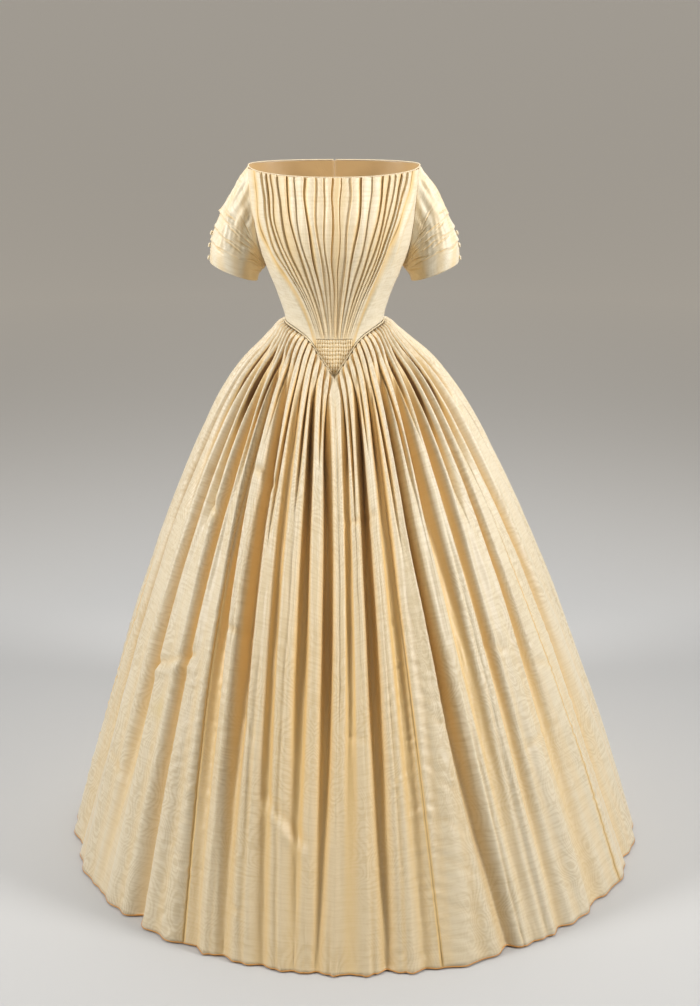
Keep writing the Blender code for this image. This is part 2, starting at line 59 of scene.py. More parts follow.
CAMERA_REACH = 200.0
LENS = 63.55
LENS_RISE = -0.0676
FLOOR_HEIGHT = -1.063
FLOOR_RADIUS = 60.0
# The floor is painted darker near the dress and lighter and warmer far off: painted shade where
# the lamps fall strongest, painted light where they hardly reach.
FLOOR_SHADED_NEAR = (0.55, 0.55, 0.55, 1.0)
FLOOR_LIT_FAR = (0.93, 0.86, 0.76, 1.0)
FLOOR_FADES_FROM = 1.4
FLOOR_FADES_TO = 5.5
FLOOR_ROUGHNESS = 0.75
AIR_FRONT = (0.185, 0.182, 0.176, 1.0)
AIR_BEHIND = (0.70, 0.685, 0.66, 1.0)
AIR_TURNS_FROM = -0.3
AIR_TURNS_TO = 0.9
LAMP_WARM = (1.0, 0.99, 0.965)
LAMP_WHITE = (1.0, 1.0, 1.0)
LAMP_SPREAD = 90.0
Lamp = namedtuple("Lamp", "name place aim size power colour")
LAMPS = (
    Lamp("soft_lamp_left", (-3.5, -1.5, 1.75), (0.0, 0.0, 0.46), 1.3, 41.0, LAMP_WARM),
    Lamp("soft_lamp_right", (3.6, -1.5, 1.70), (0.0, 0.0, 0.46), 1.3, 45.0, LAMP_WARM),
    Lamp("soft_lamp_above", (0.2, 0.9, 2.9), (0.0, 0.0, -0.4), 2.2, 15.0, LAMP_WHITE),
)


def node(tree, kind, inputs=(), **settings):
    """One shader node, with its settings, and its inputs set or joined."""
    made = tree.nodes.new(kind)
    for key, value in settings.items():
        setattr(made, key, value)
    for key, value in dict(inputs).items():
        if isinstance(value, bpy.types.NodeSocket):
            tree.links.new(value, made.inputs[key])
        else:
            made.inputs[key].default_value = value
    return made


def mixed(tree, share, first, second):
    """A colour between two others."""
    made = node(tree, "ShaderNodeMix", {0: share, 6: first, 7: second}, data_type="RGBA")
    return made.outputs[2]


def scaled(tree, value, low, high, to_low=0.0, to_high=1.0, kind="LINEAR"):
    """A value brought from one range into another."""
    made = node(tree, "ShaderNodeMapRange", {0: value, 1: low, 2: high, 3: to_low, 4: to_high},
                interpolation_type=kind)
    return made.outputs[0]


def new_finish(name):
    """A new material, with its tree of nodes and its shader."""
    finish = bpy.data.materials.new(name)
    finish.use_nodes = True
    return finish, finish.node_tree, finish.node_tree.nodes["Principled BSDF"]


camera = bpy.data.objects.new("studio_camera", bpy.data.cameras.new("studio_camera"))
bpy.context.scene.collection.objects.link(camera)
camera.location = CAMERA_PLACE
camera.rotation_euler = (math.radians(CAMERA_TILT), 0.0, 0.0)
camera.data.lens = LENS
camera.data.shift_y = LENS_RISE
camera.data.clip_end = CAMERA_REACH
bpy.context.scene.camera = camera

for plan in LAMPS:
    lamp = bpy.data.objects.new(plan.name, bpy.data.lights.new(plan.name, "AREA"))
    bpy.context.scene.collection.objects.link(lamp)
    lamp.data.shape = "DISK"
    lamp.data.size = plan.size
    lamp.data.spread = math.radians(LAMP_SPREAD)
    lamp.data.energy = plan.power
    lamp.data.color = plan.colour
    lamp.location = plan.place
    aim = [end - start for end, start in zip(plan.aim, plan.place)]
    tilt = math.atan2(math.hypot(aim[0], aim[1]), -aim[2])
    lamp.rotation_euler = (tilt, 0.0, math.atan2(aim[1], aim[0]) - math.pi / 2)

air = bpy.data.worlds.new("studio_air")
air.use_nodes = True
air_tree = air.node_tree
way = node(air_tree, "ShaderNodeTexCoord")
axes = node(air_tree, "ShaderNodeSeparateXYZ", {0: way.outputs["Generated"]})
turned = scaled(air_tree, axes.outputs["Y"], AIR_TURNS_FROM, AIR_TURNS_TO)
tint = mixed(air_tree, turned, AIR_FRONT, AIR_BEHIND)
air_tree.links.new(tint, air_tree.nodes["Background"].inputs["Color"])
bpy.context.scene.world = air
bpy.context.scene.view_settings.view_transform = "Standard"

bpy.ops.object.select_all(action="DESELECT")
bpy.ops.mesh.primitive_circle_add(vertices=96, radius=FLOOR_RADIUS, fill_type="NGON",
                                  location=(0.0, 0.0, FLOOR_HEIGHT))
floor = bpy.context.object
floor.name = "studio_floor"
paint, paint_tree, paint_shader = new_finish("studio_floor_paint")
spot = node(paint_tree, "ShaderNodeTexCoord")
away = node(paint_tree, "ShaderNodeVectorMath", {0: spot.outputs["Object"]}, operation="LENGTH")
# Painted shade near the dress, fading to painted light far off.
faded = scaled(paint_tree, away.outputs["Value"], FLOOR_FADES_FROM, FLOOR_FADES_TO)
floor_light_and_shade = mixed(paint_tree, faded, FLOOR_SHADED_NEAR, FLOOR_LIT_FAR)
paint_tree.links.new(floor_light_and_shade, paint_shader.inputs["Base Color"])
paint_shader.inputs["Roughness"].default_value = FLOOR_ROUGHNESS
floor.data.materials.append(paint)


# The front of the bodice: watered silk laid in a fan of knife pleats that hang
# straight from the neckline and draw in to the gauged panel, under a plain fold
# that runs from each shoulder to the waist.
CLOTH_THICKNESS = 0.0006
BodySection = namedtuple("BodySection", "height half_width front back")
BODY_SECTIONS = (
    BodySection(-0.110, 0.094, 0.1095, 0.075),
    BodySection(-0.050, 0.094, 0.0965, 0.075),
    BodySection(0.000, 0.094, 0.088, 0.075),
    BodySection(0.050, 0.107, 0.098, 0.082),
    BodySection(0.100, 0.127, 0.115, 0.090),
    BodySection(0.150, 0.145, 0.128, 0.097),
    BodySection(0.200, 0.155, 0.126, 0.102),
    BodySection(0.250, 0.160, 0.112, 0.104),
    BodySection(0.310, 0.162, 0.092, 0.102),
)
OVAL_POWER = 2.2
WaistPoint = namedtuple("WaistPoint", "sideways drop")
WAIST_LINE = (
    WaistPoint(0.0000, 0.089),
    WaistPoint(0.0275, 0.050),
    WaistPoint(0.0446, 0.026),
    WaistPoint(0.0680, 0.009),
    WaistPoint(0.0850, 0.002),
    WaistPoint(0.0940, 0.000),
)
WAIST_CORD = 0.0014
SEAM_GAP = 0.0003
NECK_HEIGHT = 0.296
NECK_DIP_FRONT = 0.011
NECK_DIP_BACK = 0.004
UNDERARM_HEIGHT = 0.106
ARMHOLE_FRONT = 0.034
ARMHOLE_BACK = 0.055
ARMHOLE_STEPS = 8
SIDE_SEAM_HEIGHTS = (0.035, 0.070)
FAN_ROW_SPLIT = 12
PANEL_ANGLE = 19.4
PANEL_TOP = -0.021
FAN_POWER = 1.6
FAN_EDGES = (-70.8, -57.4, -51.4, -46.5, -39.9, -31.4, -25.5, -17.9, -10.6, -5.6, -0.8,
             4.3, 10.0, 17.0, 25.0, 34.0, 40.2, 46.3, 54.0, 61.6, 70.8)
FAN_LIFT_TOP = 0.0050
FAN_LIFT_WAIST = 0.0022
FAN_SWAY = 1.2
FanWaist = namedtuple("FanWaist", "part left right")
FAN_DRAWN_IN = (
    FanWaist(0.00, 0.00, 0.00),
    FanWaist(0.14, 0.21, 0.19),
    FanWaist(0.27, 0.20, 0.26),
    FanWaist(0.45, 0.07, 0.27),
    FanWaist(0.58, 0.00, 0.26),
    FanWaist(0.73, 0.00, 0.20),
    FanWaist(0.87, 0.07, 0.14),
    FanWaist(1.00, 0.05, 0.09),
)
FAN_CLOTH = 0.0002
TROUGH_LEAST = 0.003
TROUGH_MOST = 0.011
ROLL_RISE = 0.75
PleatStep = namedtuple("PleatStep", "across lift shade")
KNIFE_PLEAT = (
    PleatStep(0.000, 0.00, 1.00),
    PleatStep(0.050, 0.00, 1.00),
    PleatStep(0.120, 0.03, 0.80),
    PleatStep(0.200, 0.10, 0.62),
    PleatStep(0.290, 0.24, 0.52),
    PleatStep(0.380, 0.42, 0.40),
    PleatStep(0.480, 0.60, 0.26),
    PleatStep(0.640, 0.79, 0.08),
    PleatStep(0.800, 0.94, 0.00),
    PleatStep(0.920, 1.00, 0.00),
    PleatStep(0.985, 0.90, 0.10),
    PleatStep(1.000, 0.50, 0.75),
)
CENTRE_PLEAT = (
    PleatStep(0.000, 0.00, 1.00),
    PleatStep(0.050, 0.02, 1.00),
    PleatStep(0.120, 0.20, 0.70),
    PleatStep(0.200, 0.46, 0.30),
    PleatStep(0.300, 0.66, 0.04),
    PleatStep(0.420, 0.76, 0.00),
    PleatStep(0.550, 0.74, 0.00),
    PleatStep(0.680, 0.66, 0.04),
    PleatStep(0.790, 0.50, 0.24),
    PleatStep(0.880, 0.24, 0.60),
    PleatStep(0.950, 0.03, 1.00),
    PleatStep(1.000, 0.00, 1.00),
)
SIDE_COLUMNS = 26
SIDE_CROWDING = 1.25
SIDE_SLACK = 0.0009
SIDE_PULL = 0.0011
TROUGH_LINE = 0.0012
MERGED_LEFT = 0.22
FAN_RADIUS = 0.16


def through(places, values, where):
    """A smooth curve through a short column of sizes."""
    places = np.array(places, dtype=float)
    values = np.array(values, dtype=float)
    slopes = np.gradient(values, places)
    after = np.clip(np.searchsorted(places, where), 1, len(places) - 1)
    before = after - 1
    span = places[after] - places[before]
    part = (where - places[before]) / span
    square = part * part
    cube = square * part
    return ((2 * cube - 3 * square + 1) * values[before]
            + (cube - 2 * square + part) * span * slopes[before]
            + (3 * square - 2 * cube) * values[after]
            + (cube - square) * span * slopes[after])


def body_size(height, column):
    return through([section.height for section in BODY_SECTIONS],
                   [getattr(section, column) for section in BODY_SECTIONS], height)


def body_point(angle, height):
    """Points on the plain bodice, for arrays of angles and heights."""
    angle, height = np.broadcast_arrays(np.asarray(angle, float), np.asarray(height, float))
    sine = np.sin(angle)
    cosine = np.cos(angle)
    depth = np.where(cosine > 0, body_size(height, "front"), body_size(height, "back"))
    power = 2 / OVAL_POWER
    across = body_size(height, "half_width") * np.sign(sine) * np.abs(sine) ** power
    back = -depth * np.sign(cosine) * np.abs(cosine) ** power
    return np.stack((across, back, height), axis=-1)


def unit(vectors):
    return vectors / np.linalg.norm(vectors, axis=-1, keepdims=True)


def body_normal(angle, height):
    turn = 0.01
    rise = 0.001
    around = body_point(angle + turn, height) - body_point(angle - turn, height)
    upward = body_point(angle, height + rise) - body_point(angle, height - rise)
    return unit(np.cross(around, upward))


def body_angle(back, height):
    """The angle at which the bodice reaches a distance behind or before its axis."""
    depth = body_size(height, "front" if back < 0 else "back")
    cosine = min(1.0, abs(back) / depth) ** (OVAL_POWER / 2)
    return math.acos(-math.copysign(cosine, back))


def waist_height(angle):
    places = [point.sideways for point in WAIST_LINE]
    sideways = np.minimum(np.abs(body_point(angle, 0.0)[..., 0]), places[-1])
    drop = through(places, [point.drop for point in WAIST_LINE], sideways)
    return np.where(np.cos(angle) > 0, -drop, 0.0)


def waist_edge(angle, side):
    """Points on the edge of a piece above or below the cord in the waist seam."""
    angle = np.asarray(angle, float)
    step = math.radians(2.0)
    inner = np.maximum(np.abs(angle), step)
    low = body_point(inner - step, waist_height(inner - step))
    high = body_point(inner + step, waist_height(inner + step))
    level = np.hypot(high[..., 0] - low[..., 0], high[..., 1] - low[..., 1])
    stretch = np.hypot(1.0, (high[..., 2] - low[..., 2]) / level)
    return body_point(angle, waist_height(angle) + side * (WAIST_CORD + SEAM_GAP) * stretch)


def neck_height(angle):
    dip = np.where(np.cos(angle) > 0, NECK_DIP_FRONT, NECK_DIP_BACK)
    return NECK_HEIGHT - dip * np.abs(np.cos(angle))


def armhole_edge(reach):
    """Heights and angles of the side seam and the armhole, from waist to neck."""
    centre = (NECK_HEIGHT + UNDERARM_HEIGHT) / 2
    radius = (NECK_HEIGHT - UNDERARM_HEIGHT) / 2
    heights = [0.0, *SIDE_SEAM_HEIGHTS]
    angles = [math.pi / 2] * len(heights)
    for step in range(ARMHOLE_STEPS + 1):
        turn = math.pi * (1 - step / ARMHOLE_STEPS)
        heights.append(centre + radius * math.cos(turn))
        angles.append(body_angle(reach * math.sin(turn), heights[-1]))
    return np.array(heights), np.array(angles)


def fine_edge(reach, split):
    """The same edge with rows added between, for the cloth."""
    heights, angles = armhole_edge(reach)
    rows = np.arange((len(heights) - 1) * split + 1) / split
    marks = np.arange(len(heights))
    return np.interp(rows, marks, heights), np.interp(rows, marks, angles)


def soft_step(values, low, high):
    """Nothing below low, all above high, and smooth between."""
    part = np.clip((values - low) / (high - low), 0.0, 1.0)
    return part * part * (3 - 2 * part)


UNEVEN_SIZES = (1.0, 2.3, 4.1)


def uneven(first, second, seed):
    """Smooth unevenness between -1 and 1 over two coordinates, the same each run."""
    total = 0.0
    for number, size in enumerate(UNEVEN_SIZES):
        turn = seed * 1.7 + number * 2.4
        wave = np.sin(first * size + turn + 1.3 * np.sin(second * size * 0.8 + turn))
        total = total + wave * np.cos(second * size * 0.9 - turn * 0.6) / (1 + number)
    return total / 1.6


def sums(tree, kind, first, second=0.0, clamp=False):
    made = node(tree, "ShaderNodeMath", {0: first, 1: second}, operation=kind, use_clamp=clamp)
    return made.outputs[0]


SILK_LIGHT = (0.835, 0.745, 0.570, 1.0)
SILK_DARK = (0.70, 0.595, 0.40, 1.0)
# Painted shade: by its fold mark, cloth in the folds is painted golden, and the deepest pleat
# lines brown.
FOLD_SHADE_COLOUR = (0.80, 0.555, 0.235, 1.0)
PLEAT_SHADE_COLOUR = (0.25, 0.125, 0.04, 1.0)
LINING_COLOUR = (0.55, 0.36, 0.16, 1.0)
STAIN_COLOUR = (0.70, 0.55, 0.27, 1.0)
GOLDEN_SHADE_LIMIT = 0.6
STAIN_WEIGHT = 0.6

# The watered pattern: rings round ovals that stand in columns, swayed and broken up
# by smooth noise, whose cells are counted to the metre across and along the silk
OVAL_COLUMN = 0.096
OVAL_HEIGHT = 0.074
OVAL_RINGS = 2.1
OVAL_SWAY = 9.0
OVAL_DRIFT = 14.0
RIB_BREAK = 0.45
PATTERN_WEIGHT = 0.72
GRAIN_MIDDLE = 0.43
GRAIN_WEIGHT = 2.2
Noise = namedtuple("Noise", "across along detail shift")
RIBS = Noise(38.0, 520.0, 1.0, 7.0)
SLUBS = Noise(20.0, 240.0, 2.0, 3.0)
SWIRLS = Noise(13.0, 8.0, 1.0, 0.0)
PATCHES = Noise(8.0, 5.0, 1.0, 11.0)
NOISE_ROUGHNESS = 0.45
THREAD_PITCH = 0.0011
THREAD_WEIGHT = 0.22
PRESSED_WEIGHT = 0.6
WEAVE_STRENGTH = 0.28
WEAVE_DEPTH = 0.0006
SILK_GLOSSY = 0.37
SILK_DULL = 0.52
SILK_SPECULAR = 0.55
SILK_SHEEN = 0.12
SILK_SHEEN_ROUGHNESS = 0.45


def watered_silk(name, seed, rings, light=SILK_LIGHT, dark=SILK_DARK):
    """Ribbed silk pressed to a watered pattern that mirrors about its centre line."""
    silk, tree, shader = new_finish(name)
    cloth = node(tree, "ShaderNodeUVMap", uv_map="cloth")
    parts = node(tree, "ShaderNodeSeparateXYZ", {0: cloth.outputs[0]})
    mirrored = sums(tree, "ABSOLUTE", parts.outputs[0])
    along = parts.outputs[1]

    def times(first, second):
        return sums(tree, "MULTIPLY", first, second)

    def plus(first, second):
        return sums(tree, "ADD", first, second)

    def noise(size):
        place = node(tree, "ShaderNodeCombineXYZ", {
            0: times(mirrored, size.across), 1: times(along, size.along),
            2: seed + size.shift})
        cloud = node(tree, "ShaderNodeTexNoise", {
            "Vector": place.outputs[0], "Scale": 1.0, "Detail": size.detail,
            "Roughness": NOISE_ROUGHNESS})
        return cloud.outputs[0]

    def mark(attribute):
        return node(tree, "ShaderNodeAttribute", attribute_name=attribute).outputs["Fac"]

    ribs = noise(RIBS)
    patch = noise(PATCHES)
    sway = times(sums(tree, "SUBTRACT", noise(SWIRLS), 0.5), OVAL_SWAY)
    column = plus(times(mirrored, 2 * math.pi / OVAL_COLUMN), sway)
    stack = plus(times(along, 2 * math.pi / OVAL_HEIGHT), times(patch, OVAL_DRIFT))
    turns = plus(times(sums(tree, "COSINE", column), OVAL_RINGS), sums(tree, "SINE", stack))
    turns = plus(turns, times(ribs, RIB_BREAK))
    wave = sums(tree, "SINE", times(turns, 2 * math.pi))
    line = scaled(tree, wave, -0.6, 0.9, kind="SMOOTHSTEP")
    shown = scaled(tree, patch, 0.38, 0.60, 0.15, 1.0, kind="SMOOTHSTEP")
    pattern = times(times(line, shown), rings)
    grain = times(sums(tree, "SUBTRACT", noise(SLUBS), GRAIN_MIDDLE), GRAIN_WEIGHT)
    share = sums(tree, "ADD", times(pattern, PATTERN_WEIGHT), grain, clamp=True)
    # The fold mark carries painted shade: golden in the folds, brown in the deepest lines.
    folded = mark("fold")
    colour = mixed(tree, share, light, dark)
    colour = mixed(tree, scaled(tree, folded, 0.0, GOLDEN_SHADE_LIMIT), colour, FOLD_SHADE_COLOUR)
    colour = mixed(tree, scaled(tree, folded, GOLDEN_SHADE_LIMIT, 1.0), colour, PLEAT_SHADE_COLOUR)
    colour = mixed(tree, times(mark("stain"), STAIN_WEIGHT), colour, STAIN_COLOUR)
    colour = mixed(tree, mark("inside"), colour, LINING_COLOUR)
    tree.links.new(colour, shader.inputs["Base Color"])
    dull = scaled(tree, share, 0.0, 1.0, SILK_GLOSSY, SILK_DULL)
    tree.links.new(dull, shader.inputs["Roughness"])
    thread = sums(tree, "SINE", times(along, 2 * math.pi / THREAD_PITCH))
    height = plus(times(thread, THREAD_WEIGHT), plus(ribs, times(pattern, PRESSED_WEIGHT)))
    weave = node(tree, "ShaderNodeBump", {
        "Strength": WEAVE_STRENGTH, "Distance": WEAVE_DEPTH, "Height": height})
    tree.links.new(weave.outputs[0], shader.inputs["Normal"])
    shader.inputs["Specular IOR Level"].default_value = SILK_SPECULAR
    shader.inputs["Sheen Weight"].default_value = SILK_SHEEN
    shader.inputs["Sheen Roughness"].default_value = SILK_SHEEN_ROUGHNESS
    return silk


def lay_cloth(name, points, flat_places, finish, marks=(), closed=False,
              thick=CLOTH_THICKNESS):
    """A thin sheet of cloth from rows of points, with its places on the flat cloth."""
    rows, columns = points.shape[:2]
    bpy.ops.object.select_all(action="DESELECT")
    bpy.ops.mesh.primitive_grid_add(x_subdivisions=columns - 1, y_subdivisions=rows - 1)
    cloth = bpy.context.object
    cloth.name = name
    mesh = cloth.data
    mesh.name = name
    mesh.vertices.foreach_set("co", points.reshape(-1))
    while mesh.uv_layers:
        mesh.uv_layers.remove(mesh.uv_layers[0])
    layer = mesh.uv_layers.new(name="cloth")
    corners = np.empty(len(mesh.loops), dtype=np.int32)
    mesh.loops.foreach_get("vertex_index", corners)
    layer.data.foreach_set("uv", flat_places.reshape(-1, 2)[corners].reshape(-1))
    for key, values in dict(marks).items():
        mesh.attributes.new(key, "FLOAT", "POINT").data.foreach_set(
            "value", np.clip(values, 0.0, 1.0).reshape(-1))
    mesh.materials.append(finish)
    if closed:
        bpy.ops.object.mode_set(mode="EDIT")
        bpy.ops.mesh.select_all(action="SELECT")
        bpy.ops.mesh.remove_doubles(threshold=0.00002)
        bpy.ops.object.mode_set(mode="OBJECT")
    bpy.ops.object.shade_smooth()
    plain_count = len(mesh.vertices)
    lining = cloth.modifiers.new("lining", "SOLIDIFY")
    lining.thickness = thick
    lining.offset = -1.0
    bpy.ops.object.modifier_apply(modifier="lining")
    inner = np.ones(len(cloth.data.vertices))
    inner[:plain_count] = 0.0
    cloth.data.attributes.new("inside", "FLOAT", "POINT").data.foreach_set("value", inner)
    cloth.data.update()
    return cloth


def grid_normals(points, closed=False):
    """Outward normals of rows of points."""
    if closed:
        around = np.concatenate((points[:, -2:-1], points, points[:, 1:2]), axis=1)
        around = around[:, 2:] - around[:, :-2]
    else:
        around = np.gradient(points, axis=1)
    return unit(np.cross(around, np.gradient(points, axis=0)))


def draw_in(angles, part):
    """Bring the outer pleats in towards the centre, by their place at the neckline."""
    places = [row.part for row in FAN_DRAWN_IN]
    left = through(places, [row.left for row in FAN_DRAWN_IN], part)
    right = through(places, [row.right for row in FAN_DRAWN_IN], part)
    reach = np.clip(np.abs(angles) / math.radians(FAN_EDGES[-1] * 0.8), 0.0, 1.0) ** 1.5
    return angles * (1 - np.where(angles < 0, left, right) * reach)


def fan_lines():
    """Each line of the fan: its degrees at the neck and at the panel, its lift, its
    shade, and how much of it is left at the panel."""
    last = len(FAN_EDGES) - 1
    foot = [PANEL_ANGLE * (2 * number / last - 1) for number in range(last + 1)]
    middle = (last + 1) // 2
    lines = []
    for number in range(last):
        if number < middle:
            shape = KNIFE_PLEAT
        elif number > middle:
            shape = [PleatStep(1 - step.across, step.lift, step.shade)
                     for step in reversed(KNIFE_PLEAT)]
        else:
            shape = CENTRE_PLEAT
        neck_width = FAN_EDGES[number + 1] - FAN_EDGES[number]
        foot_width = foot[number + 1] - foot[number]
        strength = 1 + 0.25 * math.sin(2.1 * number + 0.6)
        darkness = 0.76 + 0.34 * math.sin(3.7 * number + 1.0)
        stays = MERGED_LEFT if number % 2 else 1.0
        for step in shape:
            lines.append((FAN_EDGES[number] + neck_width * step.across,
                          foot[number] + foot_width * step.across,
                          step.lift * strength, step.shade * darkness, stays))
    return np.array(lines).T


def fan_pleats(part, draw):
    """Angles, heights, lift and shade of the pleats, from the panel to the neckline."""
    top, bottom, lift, shade, stays = fan_lines()
    merge = stays + (1 - stays) * soft_step(part, 0.04, 0.42)
    outermost = soft_step(np.abs(top), 26.0, 54.0)
    merge = merge * (1 - 0.65 * outermost * (1 - soft_step(part, 0.10, 0.60)))
    sway = FAN_SWAY * np.sin(part * 9.0 + top * 0.21) * np.sin(part * 4.1 + top * 0.13)
    sway = sway * soft_step(1 - part, 0.0, 0.12) * soft_step(part, 0.15, 0.5)
    sway = sway * soft_step(FAN_EDGES[-1] - np.abs(top), 0.0, 8.0)
    top = np.radians(top)
    bottom = np.radians(bottom)
    angles = draw_in(bottom + (top - bottom) * draw + np.radians(sway), part)
    level = PANEL_TOP + (neck_height(top) - PANEL_TOP) * part
    # Painted shade over all the pleats of the fan, a little uneven from pleat to pleat.
    painted_shade = 0.24 + 0.11 * np.sin(top * 9.0 + 1.2) + 0.06 * np.sin(top * 31.0)
    return angles, level, lift * merge, np.maximum(shade * merge, painted_shade)


def fan_side(hand, heights, edges, part, draw):
    """The plain cloth beside the fan, with the trough and the roll of the fold between."""
    share = (np.arange(SIDE_COLUMNS) / (SIDE_COLUMNS - 1)) ** SIDE_CROWDING
    first = math.radians(PANEL_ANGLE + 0.2)
    start = first + (math.radians(FAN_EDGES[-1] + 0.3) - first) * draw
    drawn = draw_in(hand * start, part)
    angles = drawn + (hand * edges[:, None] - drawn) * share
    low = waist_edge(angles[0], 1)[:, 2]
    level = low + (neck_height(angles[-1]) - low) * part
    level[:, -1] = np.maximum(low[-1], heights)
    apart = np.abs(angles - angles[:, :1]) * body_size(level, "half_width")
    trough = TROUGH_LEAST + (TROUGH_MOST - TROUGH_LEAST) * soft_step(part, 0.05, 0.50)
    roll = np.exp(-((apart - 2.2 * trough) / (1.1 * trough)) ** 2)
    behind = np.exp(-((apart - 2.6 * trough) / (0.42 * trough)) ** 2)
    # Painted shade in the trough along the fan's edge and on the far side of the roll.
    shade = (0.56 * np.exp(-((apart - 0.35 * trough) / (0.85 * trough)) ** 2)
             + 0.25 * np.exp(-(apart / TROUGH_LINE) ** 2)
             + 0.34 * behind * soft_step(part, 0.3, 0.7))
    return angles, level, roll * ROLL_RISE * soft_step(part, 0.02, 0.25), shade


def build_fan_front():
    heights, edges = fine_edge(-ARMHOLE_FRONT, FAN_ROW_SPLIT)
    part = (heights / NECK_HEIGHT)[:, None]
    draw = 1 - (1 - part) ** FAN_POWER
    angles, level, lift, shade = (
        np.concatenate((left[:, ::-1], middle, right), axis=1)
        for left, middle, right in zip(fan_side(-1, heights, edges, part, draw),
                                       fan_pleats(part, draw),
                                       fan_side(1, heights, edges, part, draw)))
    size = FAN_LIFT_WAIST + (FAN_LIFT_TOP - FAN_LIFT_WAIST) * part
    size = size * soft_step(part, -0.02, 0.05)
    outer = soft_step(np.abs(angles), 0.55, 0.95)
    slack = uneven(angles * 9, level * 42, 2.0) * SIDE_SLACK * outer
    pull = np.sin(angles * 16 + level * 34 * np.sign(angles) + 0.8) * SIDE_PULL * outer
    pull = pull * soft_step(part, 0.05, 0.3) * soft_step(1 - part, 0.0, 0.2)
    out = (lift * size + slack + pull)[..., None]
    points = body_point(angles, level) + body_normal(angles, level) * out
    points[:, (0, -1), 1] -= SEAM_GAP / 2
    flat = np.stack((angles * FAN_RADIUS, level), axis=-1)
    # Painted shade for the fold mark, from the pleats' shade, varied across the fan.
    fold = shade * (0.76 + 0.18 * np.sin(angles * 23 + 1.0) * draw)
    return lay_cloth("bodice_front_silk", points, flat, watered_silk("fan_silk", 4.0, 0.5),
                     {"fold": fold}, thick=FAN_CLOTH)


fan_front = build_fan_front()
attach(fan_front, "root")
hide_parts("bodice_front")


# The back of the bodice: two plain halves of the same silk, cut straight down the
# centre back, where they meet edge to edge, each with its edge turned in and
# stitched down.
BACK_COLUMNS = 46
BACK_ROW_SPLIT = 6
BACK_RADIUS = 0.13
BACK_STRAIN = 0.0009
BACK_TURNED_IN = 0.0005


def build_back_half(name, side):
    heights, edges = fine_edge(ARMHOLE_BACK, BACK_ROW_SPLIT)
    part = (heights / NECK_HEIGHT)[:, None]
    share = np.linspace(0, 1, BACK_COLUMNS)
    angles = edges[:, None] + (math.pi - edges[:, None]) * share
    low = waist_edge(angles, 1)[..., 2]
    level = low + (neck_height(math.pi / 2 * (1 + share)) - low) * part
    level[:, 0] = np.maximum(low[:, 0], heights)
    base = body_point(angles, level)
    normals = body_normal(angles, level)
    strain = uneven(angles * 5, level * 30, 5.0) * BACK_STRAIN
    strain *= soft_step(share, 0.05, 0.2) * soft_step(1 - share, 0.02, 0.12)
    turned = BACK_TURNED_IN * soft_step(share, 0.88, 0.905)
    points = base + normals * (strain + turned)[..., None]
    points[:, 0, 1] += SEAM_GAP / 2
    points[:, -1, 0] = SEAM_GAP / 2
    flat = np.stack(((angles - math.pi) * BACK_RADIUS, level), axis=-1)
    if side < 0:
        points = points[:, ::-1] * np.array((-1.0, 1.0, 1.0))
        flat = flat[:, ::-1] * np.array((-1.0, 1.0))
    return lay_cloth(name, points, flat, watered_silk(name + "_cloth", 9.0, 0.8))


for side_name, side in (("right", 1), ("left", -1)):
    back_half = build_back_half("bodice_back_%s_silk" % side_name, side)
    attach(back_half, "root")
    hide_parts("bodice_back_%s" % side_name)


# The gauged panel above the point: silk drawn up in fine upright gathers and caught
# down by close rows of small stitches, which pull it in to little puffs.
PANEL_GATHERS = 15
PANEL_ROWS = 9
GATHER_COLUMNS = 9
PUFF_ROWS = 8
PANEL_LIFT = 0.0020
PANEL_STITCH_ROW = 0.0073
PANEL_FLAT = (0.15, 0.075)
# The panel's silk is the same silk painted darker: painted shade.
SHADED_PANEL_LIGHT = (0.78, 0.67, 0.47, 1.0)
SHADED_PANEL_DARK = (0.60, 0.47, 0.28, 1.0)
# The gauging stitches are real; their dark brown colour, in the hollows between the gathers, is
# painted shade.
THREAD_AND_SHADE_LIGHT = (0.34, 0.20, 0.085, 1.0)
THREAD_AND_SHADE_DARK = (0.16, 0.085, 0.035, 1.0)
STITCH_LENGTH = 0.0026
STITCH_HALF = 0.00042
STITCH_PROUD = 0.0005


def thread_silk():
    thread, tree, shader = new_finish("sewing_silk")
    place = node(tree, "ShaderNodeTexCoord")
    twist = node(tree, "ShaderNodeTexNoise", {"Vector": place.outputs["Object"], "Scale": 900.0})
    colour = mixed(tree, twist.outputs[0], THREAD_AND_SHADE_LIGHT, THREAD_AND_SHADE_DARK)
    tree.links.new(colour, shader.inputs["Base Color"])
    rough = scaled(tree, twist.outputs[0], 0.0, 1.0, 0.4, 0.6)
    tree.links.new(rough, shader.inputs["Roughness"])
    return thread


def sew(name, spots, along, outward):
    """Hand stitches, each a short thread that lies on the cloth."""
    bpy.ops.object.select_all(action="DESELECT")
    bpy.ops.mesh.primitive_uv_sphere_add(segments=6, ring_count=4, radius=1.0)
    stitches = bpy.context.object
    stitches.name = name
    copies = stitches.modifiers.new("copies", "ARRAY")
    copies.count = len(spots)
    bpy.ops.object.modifier_apply(modifier="copies")
    places = np.empty(len(stitches.data.vertices) * 3)
    stitches.data.vertices.foreach_get("co", places)
    shape = places.reshape(len(spots), -1, 3)[0]
    beside = np.cross(outward, along)
    laid = (spots[:, None] + shape[:, 0:1] * along[:, None] * STITCH_LENGTH / 2
            + shape[:, 1:2] * beside[:, None] * STITCH_HALF
            + shape[:, 2:3] * outward[:, None] * STITCH_HALF)
    stitches.data.vertices.foreach_set("co", laid.reshape(-1))
    bpy.ops.object.shade_smooth()
    stitches.data.materials.append(thread_silk())
    return stitches


